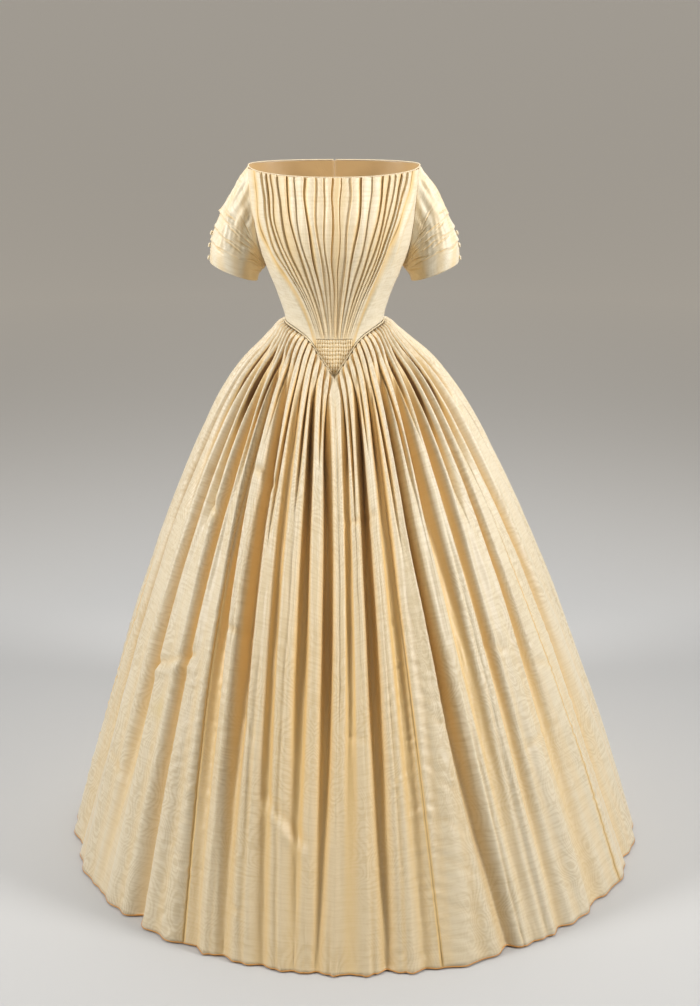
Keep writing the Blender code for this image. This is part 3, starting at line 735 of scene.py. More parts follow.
def build_panel():
    columns = PANEL_GATHERS * GATHER_COLUMNS + 1
    rows = PANEL_ROWS * PUFF_ROWS + 1
    across = np.linspace(-1, 1, columns)
    angles = np.broadcast_to(np.radians(PANEL_ANGLE) * across, (rows, columns))
    low = waist_edge(angles[0], 1)[:, 2]
    part = np.linspace(0, 1, rows)[:, None]
    level = low + (PANEL_TOP - SEAM_GAP - low) * part
    base = body_point(angles, level)
    normals = body_normal(angles, level)
    drift = 0.45 * np.sin(level * 230 + across * 3) + 0.55 * uneven(across * 6, level * 90, 3.0)
    turn = (across + 1) / 2 * PANEL_GATHERS * math.pi + drift * 0.5
    gather = np.abs(np.sin(turn)) ** 0.7
    rows_down = (PANEL_TOP - level + 0.0005 * np.sin(across * 9)) / PANEL_STITCH_ROW
    puff = np.abs(np.sin(rows_down * math.pi)) ** 0.6
    lift = PANEL_LIFT * gather * (0.25 + 0.75 * puff)
    points = base + normals * lift[..., None]
    # Painted shade in the hollows between the gathers and along the stitched rows.
    shade = (1 - gather) * 0.8 + (1 - puff) * 0.45
    flat = np.stack((across * (PANEL_FLAT[0] / 2) + 0 * level, level), axis=-1)
    panel = lay_cloth("gauged_panel_silk", points, flat,
                      watered_silk("gauged_silk_cloth", 6.0, 0.3, SHADED_PANEL_LIGHT, SHADED_PANEL_DARK),
                      {"fold": shade * 0.85})
    slope = np.gradient(gather, axis=1)
    caught = (gather < 0.45) & (slope * np.roll(slope, 1, axis=1) < 0)
    caught &= np.abs(rows_down - np.round(rows_down)) < 0.5 / PUFF_ROWS
    caught[:, (0, 1, -2, -1)] = False
    spots = points[caught] + normals[caught] * STITCH_PROUD
    along = unit(np.gradient(base, axis=1))[caught]
    return panel, sew("gauging_stitches", spots, along, normals[caught])


panel, gauging = build_panel()
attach(gauging, "root")
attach(panel, "root")
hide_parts("gauged_panel")


# The short sleeves: silk eased into the armhole, with three tucks laid round the
# arm above a plain band, and the cuff edge turned in.
CUFF_OUTER_X = 0.238
CUFF_OUTER_HEIGHT = 0.112
CUFF_INNER_X = 0.147
CUFF_INNER_HEIGHT = 0.077
CUFF_DEPTH = 0.046
SLEEVE_HEIGHT = 0.214
SleevePull = namedtuple("SleevePull", "across ahead up across_more up_more")
ARMHOLE_PULL = SleevePull(0.006, 0.006, -0.008, 0.024, -0.033)
CUFF_PULL = SleevePull(-0.001, 0.006, 0.012, 0.008, 0.046)
TUCK_HEIGHTS = (0.0445, 0.0725, 0.1035)
TUCK_LIFT = 0.0034
TUCK_FADE = 0.022
SLEEVE_SPLIT = 7
SLEEVE_ROWS = 130
SLEEVE_ROUND = 0.30
SLEEVE_SAMPLES = 60
CREASE_STRENGTH = 1.35


def cuff_level(across):
    slope = (CUFF_OUTER_HEIGHT - CUFF_INNER_HEIGHT) / (CUFF_OUTER_X - CUFF_INNER_X)
    return CUFF_INNER_HEIGHT + (across - CUFF_INNER_X) * slope


def sleeve_line(start, turn):
    """A line down the sleeve from the armhole to the cuff, finely sampled."""
    upper = (1 + math.cos(turn)) / 2
    ahead = -math.sin(turn)
    middle = (CUFF_OUTER_X + CUFF_INNER_X) / 2
    across = middle + (CUFF_OUTER_X - CUFF_INNER_X) / 2 * math.cos(turn)
    end = np.array((across, CUFF_DEPTH * ahead, cuff_level(across)))
    leave, arrive = (
        np.array((pull.across + pull.across_more * upper, pull.ahead * ahead,
                  pull.up + pull.up_more * upper))
        for pull in (ARMHOLE_PULL, CUFF_PULL))
    part = np.linspace(0, 1, SLEEVE_SAMPLES)[:, None]
    rest = 1 - part
    return (start * rest ** 3 + (start + leave) * 3 * part * rest ** 2
            + (end + arrive) * 3 * part ** 2 * rest + end * part ** 3)


def sleeve_cloth():
    """Points of the sleeve at +X from the cuff up, with what is left to the armhole."""
    front_heights, front_angles = armhole_edge(-ARMHOLE_FRONT)
    back_heights, back_angles = armhole_edge(ARMHOLE_BACK)
    top = len(front_heights) - 1
    low = top - ARMHOLE_STEPS
    ring = [(front_heights[row], front_angles[row]) for row in range(top, low, -1)]
    ring += [(back_heights[row], back_angles[row]) for row in range(low, top + 1)]
    marks = np.arange(len(ring))
    places = np.arange((len(ring) - 1) * SLEEVE_SPLIT + 1) / SLEEVE_SPLIT
    heights = np.interp(places, marks, [height for height, angle in ring])
    angles = np.interp(places, marks, [angle for height, angle in ring])
    levels = SLEEVE_HEIGHT * np.linspace(0, 1, SLEEVE_ROWS) ** 0.92
    grid = np.zeros((SLEEVE_ROWS, len(places), 3))
    left = np.zeros((SLEEVE_ROWS, len(places)))
    for column, place in enumerate(places):
        turn = math.pi * place / ARMHOLE_STEPS
        start = body_point(angles[column], heights[column])
        start = start + body_normal(angles[column], heights[column]) * SEAM_GAP
        line = sleeve_line(start, turn)
        above = line[:, 2] - cuff_level(line[:, 0])
        whole = above[0]
        level = whole * (1 - (1 - levels / SLEEVE_HEIGHT) ** (SLEEVE_HEIGHT / whole))
        left[:, column] = whole - level
        for axis in range(3):
            grid[:, column, axis] = np.interp(-level, -above, line[:, axis])
    return grid, left, levels, places / (len(ring) - 1)


# Creases pressed into a sleeve: degrees round it from the outer edge, height above
# the cuff, slant in metres over its length, length in degrees, and depth
SleeveCrease = namedtuple("SleeveCrease", "turn level slant length depth")
SLEEVE_CREASES = (
    SleeveCrease(62, 0.062, -0.004, 46, 0.0016),
    SleeveCrease(118, 0.055, 0.006, 40, 0.0018),
    SleeveCrease(84, 0.084, 0.003, 36, 0.0014),
    SleeveCrease(134, 0.080, -0.005, 44, 0.0020),
    SleeveCrease(50, 0.094, -0.003, 30, 0.0013),
    SleeveCrease(100, 0.118, 0.004, 50, 0.0017),
    SleeveCrease(72, 0.132, -0.006, 38, 0.0012),
    SleeveCrease(140, 0.030, 0.004, 34, 0.0013),
    SleeveCrease(35, 0.038, -0.002, 26, 0.0011),
    SleeveCrease(28, 0.115, 0.003, 34, 0.0012),
    SleeveCrease(222, 0.060, 0.004, 44, 0.0015),
    SleeveCrease(262, 0.082, -0.004, 40, 0.0014),
    SleeveCrease(300, 0.096, 0.003, 42, 0.0013),
    SleeveCrease(246, 0.116, 0.005, 48, 0.0016),
    SleeveCrease(318, 0.058, -0.003, 36, 0.0012),
    SleeveCrease(286, 0.128, -0.005, 38, 0.0012),
)


def sleeve_tucks(level, turn, seed):
    """Lift of the three tucks, and the shade under the edge of each."""
    lift = np.zeros(level.shape)
    shade = np.zeros(level.shape)
    for number, height in enumerate(TUCK_HEIGHTS):
        above = level - height - 0.0012 * np.sin(4 * turn + 2.6 * number + seed)
        strength = 0.72 + 0.28 * np.sin(5 * turn + 1.9 * number + seed) * np.sin(2 * turn + number)
        edge = soft_step(above, -0.0016, -0.0002)
        slope = np.exp(-np.maximum(above, 0) / 0.010)
        pucker = 1 + 0.20 * np.sin(23 * turn + height * 400) + 0.16 * np.sin(41 * turn + seed)
        lift = np.maximum(lift, TUCK_LIFT * edge * slope * pucker * strength)
        line = np.exp(-((above + 0.0024) / 0.0013) ** 2) * soft_step(strength, 0.45, 0.95)
        shade = np.maximum(shade, line * 0.75)
    return lift, shade


def sleeve_dents(level, degrees, seed):
    """Depth of the pressed creases, each with a ridge above it, and their shade."""
    dent = np.zeros(level.shape)
    shade = np.zeros(level.shape)
    for crease in SLEEVE_CREASES:
        along = (degrees - crease.turn - 6 * (seed - 1)) / crease.length
        run = level - crease.level - crease.slant * along * 2
        bend = np.exp(-(run / 0.0017) ** 2) - 0.55 * np.exp(-((run - 0.0036) / 0.0022) ** 2)
        reach = np.exp(-(2 * along) ** 4)
        dent += CREASE_STRENGTH * crease.depth * bend * reach
        shade = np.maximum(shade, 0.52 * np.exp(-(run / 0.0015) ** 2) * reach)
    return dent, shade


def sleeve_drape(turn, level, levels, seed):
    """Fullness eased in at the top, folds that fall from it, and small unevenness."""
    eased = 0.0016 * np.sin(22 * turn + 2.0 * np.sin(3 * turn))
    eased = eased * soft_step(levels, 0.10, 0.17)[:, None]
    rays = 0.0019 * np.sin(9 * turn + 42 * level + seed) * soft_step(level, 0.075, 0.13)
    rays = rays * (0.5 + 0.5 * np.sin(2.5 * turn + seed))
    creased = 0.0014 * uneven(turn * 2.0 + 0 * level, level * 55, seed)
    ripple = 0.0006 * np.sin(33 * turn + 160 * level) * soft_step(level, 0.046, 0.060)
    ripple = ripple * (1 - soft_step(level, 0.11, 0.13))
    return eased + rays + creased + ripple


def build_sleeve(name, side):
    base, left, levels, around = sleeve_cloth()
    normals = grid_normals(base[:, ::-1], closed=True)[:, ::-1]
    turn = around * 2 * math.pi
    degrees = np.degrees(turn)
    seed = 1.0 if side > 0 else 4.0
    wander = 0.0016 * np.sin(3 * turn + seed) + 0.0010 * np.sin(7 * turn + 2 * seed)
    wander += 0.0005 * np.sin(19 * turn + 3 * seed)
    level = levels[:, None] + wander
    lift, tuck_shade = sleeve_tucks(level, turn, seed)
    dent, dent_shade = sleeve_dents(level, degrees, seed)
    fade = np.minimum(1.0, left / TUCK_FADE)
    drape = sleeve_drape(turn, level, levels, seed) - dent
    drape = drape * fade * soft_step(level, 0.004, 0.016)
    points = base + normals * (lift * fade + drape)[..., None]
    points[:, -1] = points[:, 0]
    # Painted shade on the inner half of the sleeve below its top, and a light, uneven painted
    # shade over all of it.
    inner = soft_step(degrees, 104.0, 122.0) * (1 - soft_step(degrees, 238.0, 256.0))
    inner = inner * (1 - soft_step(level + 0.012 * np.sin(5 * turn), 0.10, 0.15))
    shade = np.maximum(tuck_shade, dent_shade) * fade
    shade = np.maximum(shade, 0.46 * inner + 0.5 * shade)
    shade = np.maximum(shade, 0.10 + 0.12 * np.sin(9 * turn + 42 * level + seed))
    flat = np.stack(((around - 0.5) * SLEEVE_ROUND + 0 * level, level), axis=-1)
    if side > 0:
        points = points[:, ::-1]
        flat = flat[:, ::-1]
        shade = shade[:, ::-1]
    else:
        points = points * np.array((-1.0, 1.0, 1.0))
    return lay_cloth(name, points, flat, watered_silk(name + "_cloth", 12.0 + side, 0.6),
                     {"fold": shade}, closed=True)


for side_name, side in (("right", 1), ("left", -1)):
    sleeve = build_sleeve("sleeve_%s_silk" % side_name, side)
    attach(sleeve, "root")
    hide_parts("sleeve_%s" % side_name)


# The skirt: seven widths of the silk, seamed from waist to hem, drawn up in round
# cartridge pleats at the waist and falling in deep flat-faced folds over petticoats
# to a hem just above the floor.
HEM_HEIGHT = -1.058
HEM_HALF_WIDTH = 0.577
HEM_FRONT = 0.5985
HEM_BACK = 0.610
HEM_SHIFT = 0.039
BELL_POWER = 0.64
BELL_POWER_FRONT = 0.14
# The folds: heading in degrees at the waist, below it and at the hem, and depth in
# metres in the upper part, in the middle and at the hem
SkirtFold = namedtuple("SkirtFold", "waist upper hem deep_upper deep_middle deep_hem")
FRONT_FOLDS = (
    SkirtFold(-78, -62, -60, 0.045, 0.036, 0.006),
    SkirtFold(-66, -48, -46, 0.032, 0.024, 0.030),
    SkirtFold(-54, -38, -31, 0.044, 0.022, 0.016),
    SkirtFold(-42, -30, -25, 0.034, 0.038, 0.014),
    SkirtFold(-30, -21, -17, 0.014, 0.018, 0.014),
    SkirtFold(-18, -12, -11, 0.036, 0.022, 0.006),
    SkirtFold(-6, -4, -7, 0.034, 0.032, 0.012),
    SkirtFold(6, 1, -1, 0.016, 0.010, 0.008),
    SkirtFold(18, 6, 6, 0.038, 0.036, 0.020),
    SkirtFold(30, 13, 13, 0.020, 0.016, 0.012),
    SkirtFold(42, 22, 30, 0.044, 0.044, 0.026),
    SkirtFold(54, 31, 35, 0.030, 0.014, 0.006),
    SkirtFold(66, 40, 42, 0.024, 0.020, 0.012),
    SkirtFold(77, 54, 54, 0.026, 0.022, 0.014),
    SkirtFold(88, 70, 72, 0.028, 0.026, 0.016),
)
BACK_FOLDS = 13
UPPER_FOLD_AT = 0.30
SOLID_COLUMNS = 6
ROUND_COLUMNS = (len(FRONT_FOLDS) + BACK_FOLDS) * SOLID_COLUMNS
SKIRT_ROWS = 188
WAIST_ROWS = 26
WAIST_PART = 0.08
COLUMN_CROWDING = 0.55
FOLD_STOPS = (0.03, 0.15, 0.55, 1.0)
FOLD_STRENGTH = 0.9
DARK_FOLD = 0.011
VALLEY_HALF = 0.0112
VALLEY_MOST = 0.25
CREST_HALF = 0.0045
CREST_RISE = 0.10
FACE_BAND = 0.0032
FACE_BANDS = 64
PLEAT_DEPTH = 0.0075
PLEAT_SEAM_DEPTH = 0.0040
PLEAT_REACH = 0.30
PLEAT_ARCH = -0.75
PLEAT_HEAD = 0.0075
SIDE_SINK = 0.008
POINT_PLACE = 6.5
POINT_WIDTH = 0.11
POINT_FILL = 0.005
SKIRT_LENGTH = 1.14
SkirtWidth = namedtuple("SkirtWidth", "name first last split rest")
SKIRT_WIDTHS = (
    SkirtWidth("skirt_front", 11, 55, 5, "gauged_panel"),
    SkirtWidth("skirt_front_side_right", 55, 81, 5, "bodice_front"),
    SkirtWidth("skirt_side_right", 81, 100, 4, "bodice_back_right"),
    SkirtWidth("skirt_back_right", 100, 120, 4, "bodice_back_right"),
    SkirtWidth("skirt_back_left", 120, 140, 4, "bodice_back_left"),
    SkirtWidth("skirt_side_left", 140, 159, 4, "bodice_back_left"),
    SkirtWidth("skirt_front_side_left", 159, 179, 5, "bodice_front"),
)
# Creases and dents pressed in: heading in degrees and part of the way down
# at each end, half width and depth in metres; a negative depth is a ridge
Crease = namedtuple("Crease", "heading part heading_end part_end half_width depth")
FRONT_CREASES = (
    Crease(-62, 0.598, -44, 0.545, 0.0058, 0.0085),
    Crease(-62, 0.616, -45, 0.563, 0.0080, -0.0055),
    Crease(-31, 0.425, -31, 0.475, 0.0050, -0.0045),
    Crease(-34, 0.480, -28, 0.486, 0.0060, 0.0060),
    Crease(-18.5, 0.728, -9.5, 0.790, 0.0100, 0.0032),
    Crease(-19, 0.750, -10, 0.814, 0.0095, -0.0033),
    Crease(-24, 0.912, -22, 0.928, 0.0060, 0.0035),
    Crease(-34, 0.222, -27, 0.240, 0.0075, 0.0080),
    Crease(2, 0.258, 9, 0.270, 0.0060, 0.0055),
    Crease(-56, 0.290, -48, 0.330, 0.0080, 0.0060),
    Crease(19, 0.600, 25, 0.640, 0.0050, 0.0022),
    Crease(18, 0.690, 24, 0.735, 0.0045, 0.0020),
    Crease(18, 0.760, 25, 0.805, 0.0050, 0.0022),
    Crease(18, 0.830, 26, 0.870, 0.0045, 0.0020),
    Crease(18, 0.900, 26, 0.935, 0.0045, 0.0018),
    Crease(-39, 0.740, -35, 0.752, 0.0045, 0.0018),
    Crease(-38, 0.800, -34, 0.812, 0.0045, 0.0020),
    Crease(-37, 0.860, -33, 0.872, 0.0045, 0.0018),
    Crease(-37, 0.920, -33, 0.930, 0.0045, 0.0018),
    Crease(40, 0.520, 47, 0.545, 0.0070, 0.0030),
    Crease(45, 0.700, 52, 0.690, 0.0080, 0.0030),
    Crease(58, 0.580, 66, 0.600, 0.0070, 0.0032),
    Crease(-70, 0.780, -62, 0.800, 0.0080, 0.0035),
    Crease(60, 0.860, 68, 0.845, 0.0080, 0.0030),
    Crease(-1, 0.600, 4, 0.625, 0.0060, 0.0016),
    Crease(11, 0.440, 16, 0.455, 0.0050, 0.0018),
    Crease(-28, 0.610, -22, 0.640, 0.0070, 0.0022),
)
BACK_CREASES = 22
CREASE_REACH = 0.05
# The skirt's silk is the same silk painted a shade darker than the bodice's: painted shade for the
# lesser light that falls on the skirt.
SHADED_SKIRT_LIGHT = (0.765, 0.675, 0.508, 1.0)
SHADED_SKIRT_DARK = (0.640, 0.535, 0.360, 1.0)
SEAM_DEPTH = 0.0011
PUCKER_SPACING = 0.024
PUCKER_SLANT = 0.048
PUCKER_REACH = 0.042
PUCKER_DEPTH = 0.0026
HEM_STITCHES_AT = 0.978
HEM_PUCKER_DEPTH = 0.0016
HEM_PUCKERS = 76
# One small stain on the front, and painted shade down the middle of the front
Stain = namedtuple("Stain", "heading part half_turn half_part")
STAIN = Stain(-53, 0.655, 2.2, 0.018)
Shadow = namedtuple("Shadow", "heading half_turn")
CENTRE_SHADOW = Shadow(-6, 26)


def skirt_folds():
    """The folds in front, and folds of the same kind, spaced on, round the back."""
    folds = list(FRONT_FOLDS)
    first = FRONT_FOLDS[0]
    last = FRONT_FOLDS[-1]
    for number in range(1, BACK_FOLDS + 1):
        share = number / (BACK_FOLDS + 1)
        sway = 1.8 * math.sin(2.4 * number)
        change = 1 + 0.22 * math.sin(1.7 * number)
        folds.append(SkirtFold(
            last.waist + (first.waist + 360 - last.waist) * share,
            last.upper + (first.upper + 360 - last.upper) * share + sway,
            last.hem + (first.hem + 360 - last.hem) * share + sway,
            0.036 * change, 0.032 * change, 0.018 / change))
    return folds


SKIRT_FOLDS = skirt_folds()


def bell(waist, heading, part):
    """Points of the plain bell under the folds."""
    start = waist_edge(waist, -1)
    depth = np.where(np.cos(heading) > 0, HEM_FRONT, HEM_BACK)
    end = np.stack((HEM_HALF_WIDTH * np.sin(heading) + HEM_SHIFT, -depth * np.cos(heading),
                    np.full(np.shape(heading), HEM_HEIGHT)), axis=-1)
    reach = part ** (BELL_POWER + BELL_POWER_FRONT * np.cos(heading))
    points = start + (end - start) * reach[..., None]
    points[..., 2] = start[..., 2] + (end[..., 2] - start[..., 2]) * part
    return points


def fold_angles(place, column):
    """Angles in radians between one fold and the next, at places counted in folds."""
    values = np.array([getattr(fold, column) for fold in SKIRT_FOLDS], dtype=float)
    nearest = place.astype(int)
    following = (nearest + 1) % len(values)
    wrap = np.where(following == 0, 360.0, 0.0)
    step = values[following] + wrap - values[nearest]
    return np.radians(values[nearest] + step * (place - nearest))


def fold_sizes(place, part):
    """How deep a fold is at each place, through its sizes from the waist to the hem."""
    nearest = place.astype(int)
    turn = soft_step(place - nearest, 0.34, 0.66)
    sizes = [np.zeros(place.shape)]
    for column in ("deep_upper", "deep_middle", "deep_hem"):
        values = np.array([getattr(fold, column) for fold in SKIRT_FOLDS])
        following = values[(nearest + 1) % len(values)]
        sizes.append(values[nearest] + (following - values[nearest]) * turn)
    size = np.zeros(place.shape)
    for step in range(len(FOLD_STOPS) - 1):
        low, high = FOLD_STOPS[step:step + 2]
        reach = np.clip((part - low) / (high - low), 0.0, 1.0)
        here = sizes[step] + (sizes[step + 1] - sizes[step]) * reach
        size = np.where((part >= low) & (part <= high), here, size)
    return size


def deep_folds(place, part, span):
    """Depth and shade of the long folds, and of soft bands on the faces between them."""
    share = place - place.astype(int)
    away = np.minimum(share, 1 - share) * span
    beside = place.astype(int) + soft_step(share, 0.3, 0.7)
    soften = soft_step(part, 0.42, 0.92)
    wide = VALLEY_HALF * (1 + 0.30 * np.sin(beside * 2.3 + part * 2.6)) * (0.75 + 0.65 * part)
    wide = np.minimum(wide * (1 + 0.45 * soften), VALLEY_MOST * span)
    valley = np.exp(-(away / wide) ** (4.0 - 2.2 * soften))
    ridge = np.exp(-((away - wide * 1.75) / CREST_HALF) ** 2) * CREST_RISE * (1 - soften)
    size = fold_sizes(place, part)
    flat_face = soft_step(away, 0.012, 0.030)
    ring = 2 * math.pi * place / len(SKIRT_FOLDS)
    bands = np.sin(ring * FACE_BANDS + 1.6 * np.sin(part * 5.0 + ring * 4))
    banded = bands * flat_face * soft_step(part, 0.15, 0.4)
    banded = banded * (0.40 + 0.60 * soft_step(part, 0.45, 0.80))
    depth = FOLD_STRENGTH * size * (valley - ridge) + FACE_BAND * banded
    shade = soft_step(valley, 0.10, 0.55 + 0.40 * soften) * np.clip(size / DARK_FOLD, 0.0, 1.0)
    shade = shade * (0.43 - 0.20 * soft_step(part, 0.45, 0.95))
    band_shade = soft_step(bands, 0.1, 1.0) * flat_face * soft_step(part, 0.4, 0.7)
    return depth, np.maximum(shade, 0.14 * band_shade)


def round_pleats(place, part, turned):
    """Depth and shade of the cartridge pleats, from the waist to where each opens out."""
    arch = PLEAT_ARCH * np.sin(np.clip(np.abs(turned) / 46.0, 0.0, 2.0) * math.pi / 2)
    arch = arch * np.sign(turned) * np.exp(-part / 0.055)
    phase = ((place - arch) * 2) % 1.0
    tube = 1 - np.sqrt(np.clip(1 - (2 * np.abs(phase - 0.5)) ** 2.0, 0.0, 1.0))
    ending = np.round((place - arch) * 2) % (2 * len(SKIRT_FOLDS))
    reach = PLEAT_REACH * (1 + 0.35 * np.sin(ending * 2.1))
    fade = 1 - soft_step(part, 0.25 * reach, reach)
    full = PLEAT_SEAM_DEPTH + (PLEAT_DEPTH - PLEAT_SEAM_DEPTH) * np.clip(part / 0.02, 0.0, 1.0)
    full = full * (1 + 2.6 * soft_step(part, 0.02, 0.18)) * (1 + 0.25 * np.sin(ending * 3.7))
    tip = np.exp(-((place - POINT_PLACE) / POINT_WIDTH) ** 2)
    at_side = soft_step(np.abs(turned), 42.0, 78.0)
    full = full * (1 - 0.9 * tip) * (1 + 1.2 * at_side)
    sink = SIDE_SINK * at_side * np.exp(-((part - 0.025) / 0.045) ** 2)
    sink = sink * soft_step(part, 0.0, 0.02)
    head = PLEAT_HEAD * (1 - 0.7 * at_side) * (1 - tube)
    head = head * np.exp(-((part - 0.014) / 0.022) ** 2) * soft_step(part, -0.001, 0.008)
    depth = full * fade * tube - head + sink - POINT_FILL * tip * np.exp(-part / 0.10)
    opened = soft_step(part, 0.02, 0.12)
    # Painted shade of the pleat lines, wider and darker at the sides than in front or behind.
    side_shade_weight = at_side * (1 - soft_step(np.abs(turned), 85.0, 125.0))
    shade = soft_step(tube, 0.12 - 0.06 * opened, 0.60 - 0.25 * opened - 0.20 * side_shade_weight)
    ends = soft_step(fade, 0.0, 0.9) * (1 - at_side) + fade ** 1.6 * at_side
    shade = shade * ends * (1 - tip) * (0.82 + 0.44 * side_shade_weight)
    return depth, shade * (1 - 0.35 * soft_step(part, 0.04, 0.20))


def skirt_cloth(place, part):
    """Points of the plain bell at places counted in folds and parts of the way down,
    with what the folds, the pleats and slack cloth take off it."""
    count = len(SKIRT_FOLDS)
    steps = np.gradient(place, axis=1)
    place = place - np.floor(place / count) * count
    waist = fold_angles(place, "waist")
    upper = fold_angles(place, "upper")
    down = np.clip((part - UPPER_FOLD_AT) / (1 - UPPER_FOLD_AT), 0.0, 1.0)
    heading = upper + (fold_angles(place, "hem") - upper) * down
    base = bell(waist, heading, part)
    span = np.linalg.norm(np.gradient(base, axis=1), axis=-1) / steps
    turned = np.degrees(waist)
    turned = np.where(turned > 180, turned - 360, turned)
    folded, fold_shade = deep_folds(place, part, span)
    pleated, pleat_shade = round_pleats(place, part, turned)
    slack = 0.0022 * uneven(place * 2.6, part * 7.0, 1.0) * soft_step(part, 0.12, 0.3)
    slack += 0.0010 * uneven(place * 9.0, part * 16.0, 3.0) * soft_step(part, 0.05, 0.2)
    slack = slack * soft_step(np.minimum(place, count - place), 0.0, 0.6)
    return (base, grid_normals(base), folded + pleated - slack, np.degrees(heading),
            np.maximum(fold_shade, pleat_shade), span)


def turned_apart(heading, other):
    """Degrees between two headings, the short way round."""
    return np.abs((heading - other + 180) % 360 - 180)


def crease_ends(base, heading, part, crease):
    """The two ends of a crease, or nothing where it lies on another width."""
    ends = []
    for turn, down in ((crease.heading, crease.part), (crease.heading_end, crease.part_end)):
        apart = turned_apart(heading, turn) / 90 + np.abs(part - down)
        if apart.min() > CREASE_REACH:
            return None
        ends.append(base.reshape(-1, 3)[np.argmin(apart)])
    return ends


def crease_depth(base, heading, part, creases):
    """The depth that all the creases press into the cloth at each point."""
    total = np.zeros(part.shape)
    for crease in creases:
        ends = crease_ends(base, heading, part, crease)
        if ends is None:
            continue
        run = ends[1] - ends[0]
        reach = np.clip(((base - ends[0]) @ run) / (run @ run), 0.0, 1.0)
        away = np.linalg.norm(base - ends[0] - reach[..., None] * run, axis=-1)
        taper = 0.45 + 0.55 * np.sin(math.pi * np.clip(reach, 0.04, 0.96)) ** 0.5
        total += crease.depth * taper * np.exp(-(away / crease.half_width) ** 2)
    return total


def back_creases():
    """Creases of the same kind on the sides and the back."""
    creases = []
    for number in range(BACK_CREASES):
        heading = 84 + 192 * (number + 0.5 + 0.4 * math.sin(5.1 * number)) / BACK_CREASES
        part = 0.22 + 0.70 * ((number * 0.618) % 1.0)
        slant = 0.03 * math.sin(3.3 * number)
        width = 5 + 3 * math.sin(1.3 * number + 1)
        deep = 0.0030 + 0.0014 * math.sin(2.2 * number)
        creases.append(Crease(heading, part, heading + width, part + slant, 0.0070, deep))
    return creases


def seam_puckers(part, from_edge, from_seam, nearer):
    """Depth of the seam at the edge of a width, and of the puckers that slant from it."""
    seam = np.exp(-(from_edge / 0.22) ** 2) * SEAM_DEPTH
    turn = 2 * math.pi * (part * SKIRT_LENGTH / PUCKER_SPACING - from_seam / PUCKER_SLANT)
    turn = turn + 2.2 * np.sin(part * 23 + nearer) + 1.1 * np.sin(part * 61)
    puckered = PUCKER_DEPTH * np.exp(-from_seam / PUCKER_REACH) * np.sin(turn)
    patchy = 0.25 + 0.95 * soft_step(uneven(part * 46 + nearer, from_seam * 30, 2.0), -0.1, 0.6)
    puckered *= patchy * (0.25 + 0.75 * soft_step(from_seam, 0.0, 0.008))
    return (seam + puckered * soft_step(part, 0.30, 0.60)) * soft_step(part, 0.02, 0.1)


def hem_puckers(place, part):
    """Depth of the small puckers along the stitches of the hem."""
    ring = 2 * math.pi * place * SOLID_COLUMNS / ROUND_COLUMNS
    pucker = np.maximum(0.0, np.sin(ring * HEM_PUCKERS + 2.0 * np.sin(ring * 10)))
    near_hem = np.exp(-((part - HEM_STITCHES_AT) / 0.012) ** 2)
    return HEM_PUCKER_DEPTH * pucker ** 4 * near_hem


def build_skirt_width(size, creases):
    """One width, made with a column more on each side, so that it meets its neighbours."""
    columns = np.arange(-1, (size.last - size.first) * size.split + 2) / size.split
    from_edge = np.minimum(columns, size.last - size.first - columns)
    nearer = np.where(columns < columns[-1] / 2, size.first, size.last) % ROUND_COLUMNS
    place = (size.first + columns) / SOLID_COLUMNS
    crowd = COLUMN_CROWDING * np.sin(4 * math.pi * place) / (4 * math.pi)
    place = (place - crowd * soft_step(from_edge, 0.0, 2.5))[None, :]
    waist_rows = np.linspace(0, WAIST_PART, WAIST_ROWS, endpoint=False)
    lower_rows = np.linspace(0, 1, SKIRT_ROWS - WAIST_ROWS)
    part = np.concatenate((waist_rows, WAIST_PART + (1 - WAIST_PART) * lower_rows))[::-1, None]
    place, part = np.broadcast_arrays(place, part)
    base, normals, depth, heading, shade, span = (
        values[:, 1:-1] for values in skirt_cloth(place, part))
    place, part = place[:, 1:-1], part[:, 1:-1]
    from_edge, nearer = from_edge[None, 1:-1], nearer[None, 1:-1]
    from_seam = from_edge * span / SOLID_COLUMNS
    pressed = crease_depth(base, heading, part, creases) * soft_step(from_seam, 0.0, 0.018)
    depth = depth + pressed + hem_puckers(place, part)
    depth = depth + seam_puckers(part, from_edge, from_seam, nearer)
    points = base - normals * depth[..., None]
    points[0, :, 2] = HEM_HEIGHT
    points[..., 2] = np.maximum(points[..., 2], HEM_HEIGHT)
    hem_steps = np.linalg.norm(np.diff(points[0], axis=0), axis=-1)
    across = np.concatenate(([0.0], np.cumsum(hem_steps)))
    across = across - across[-1] / 2
    flat = np.stack((across[None, :] + 0 * part, -part * SKIRT_LENGTH), axis=-1)
    stain = np.exp(-((turned_apart(heading, STAIN.heading) / STAIN.half_turn) ** 2
                     + ((part - STAIN.part) / STAIN.half_part) ** 2))
    # Painted shade along the seams, from about a third of the way down.
    seam_shade = np.exp(-(from_edge / 0.16) ** 2) * 0.66 * soft_step(part, 0.3, 0.5)
    # Painted shade in the pressed creases and painted highlight on their ridges, on the unshaded
    # faces most.
    crease_shade_and_highlight = 0.20 * np.clip(pressed / 0.0055, 0.0, 1.0) - 0.15 * np.clip(-pressed / 0.005, 0.0, 1.0)
    shade = shade + crease_shade_and_highlight * (1 - np.clip(2 * shade, 0.0, 1.0))
    shadow = np.exp(-(turned_apart(heading, CENTRE_SHADOW.heading) / CENTRE_SHADOW.half_turn) ** 2)
    # Painted shade: a little over all the skirt, and more down the middle of the front.
    painted_shade = 0.05 + 0.20 * shadow * soft_step(part, 0.12, 0.45)
    marks = {"fold": np.maximum(shade, seam_shade) + painted_shade, "stain": stain}
    finish = watered_silk(size.name + "_cloth", 20.0 + size.first * 0.37, 1.0,
                          SHADED_SKIRT_LIGHT, SHADED_SKIRT_DARK)
    return lay_cloth(size.name + "_silk", points, flat, finish, marks)


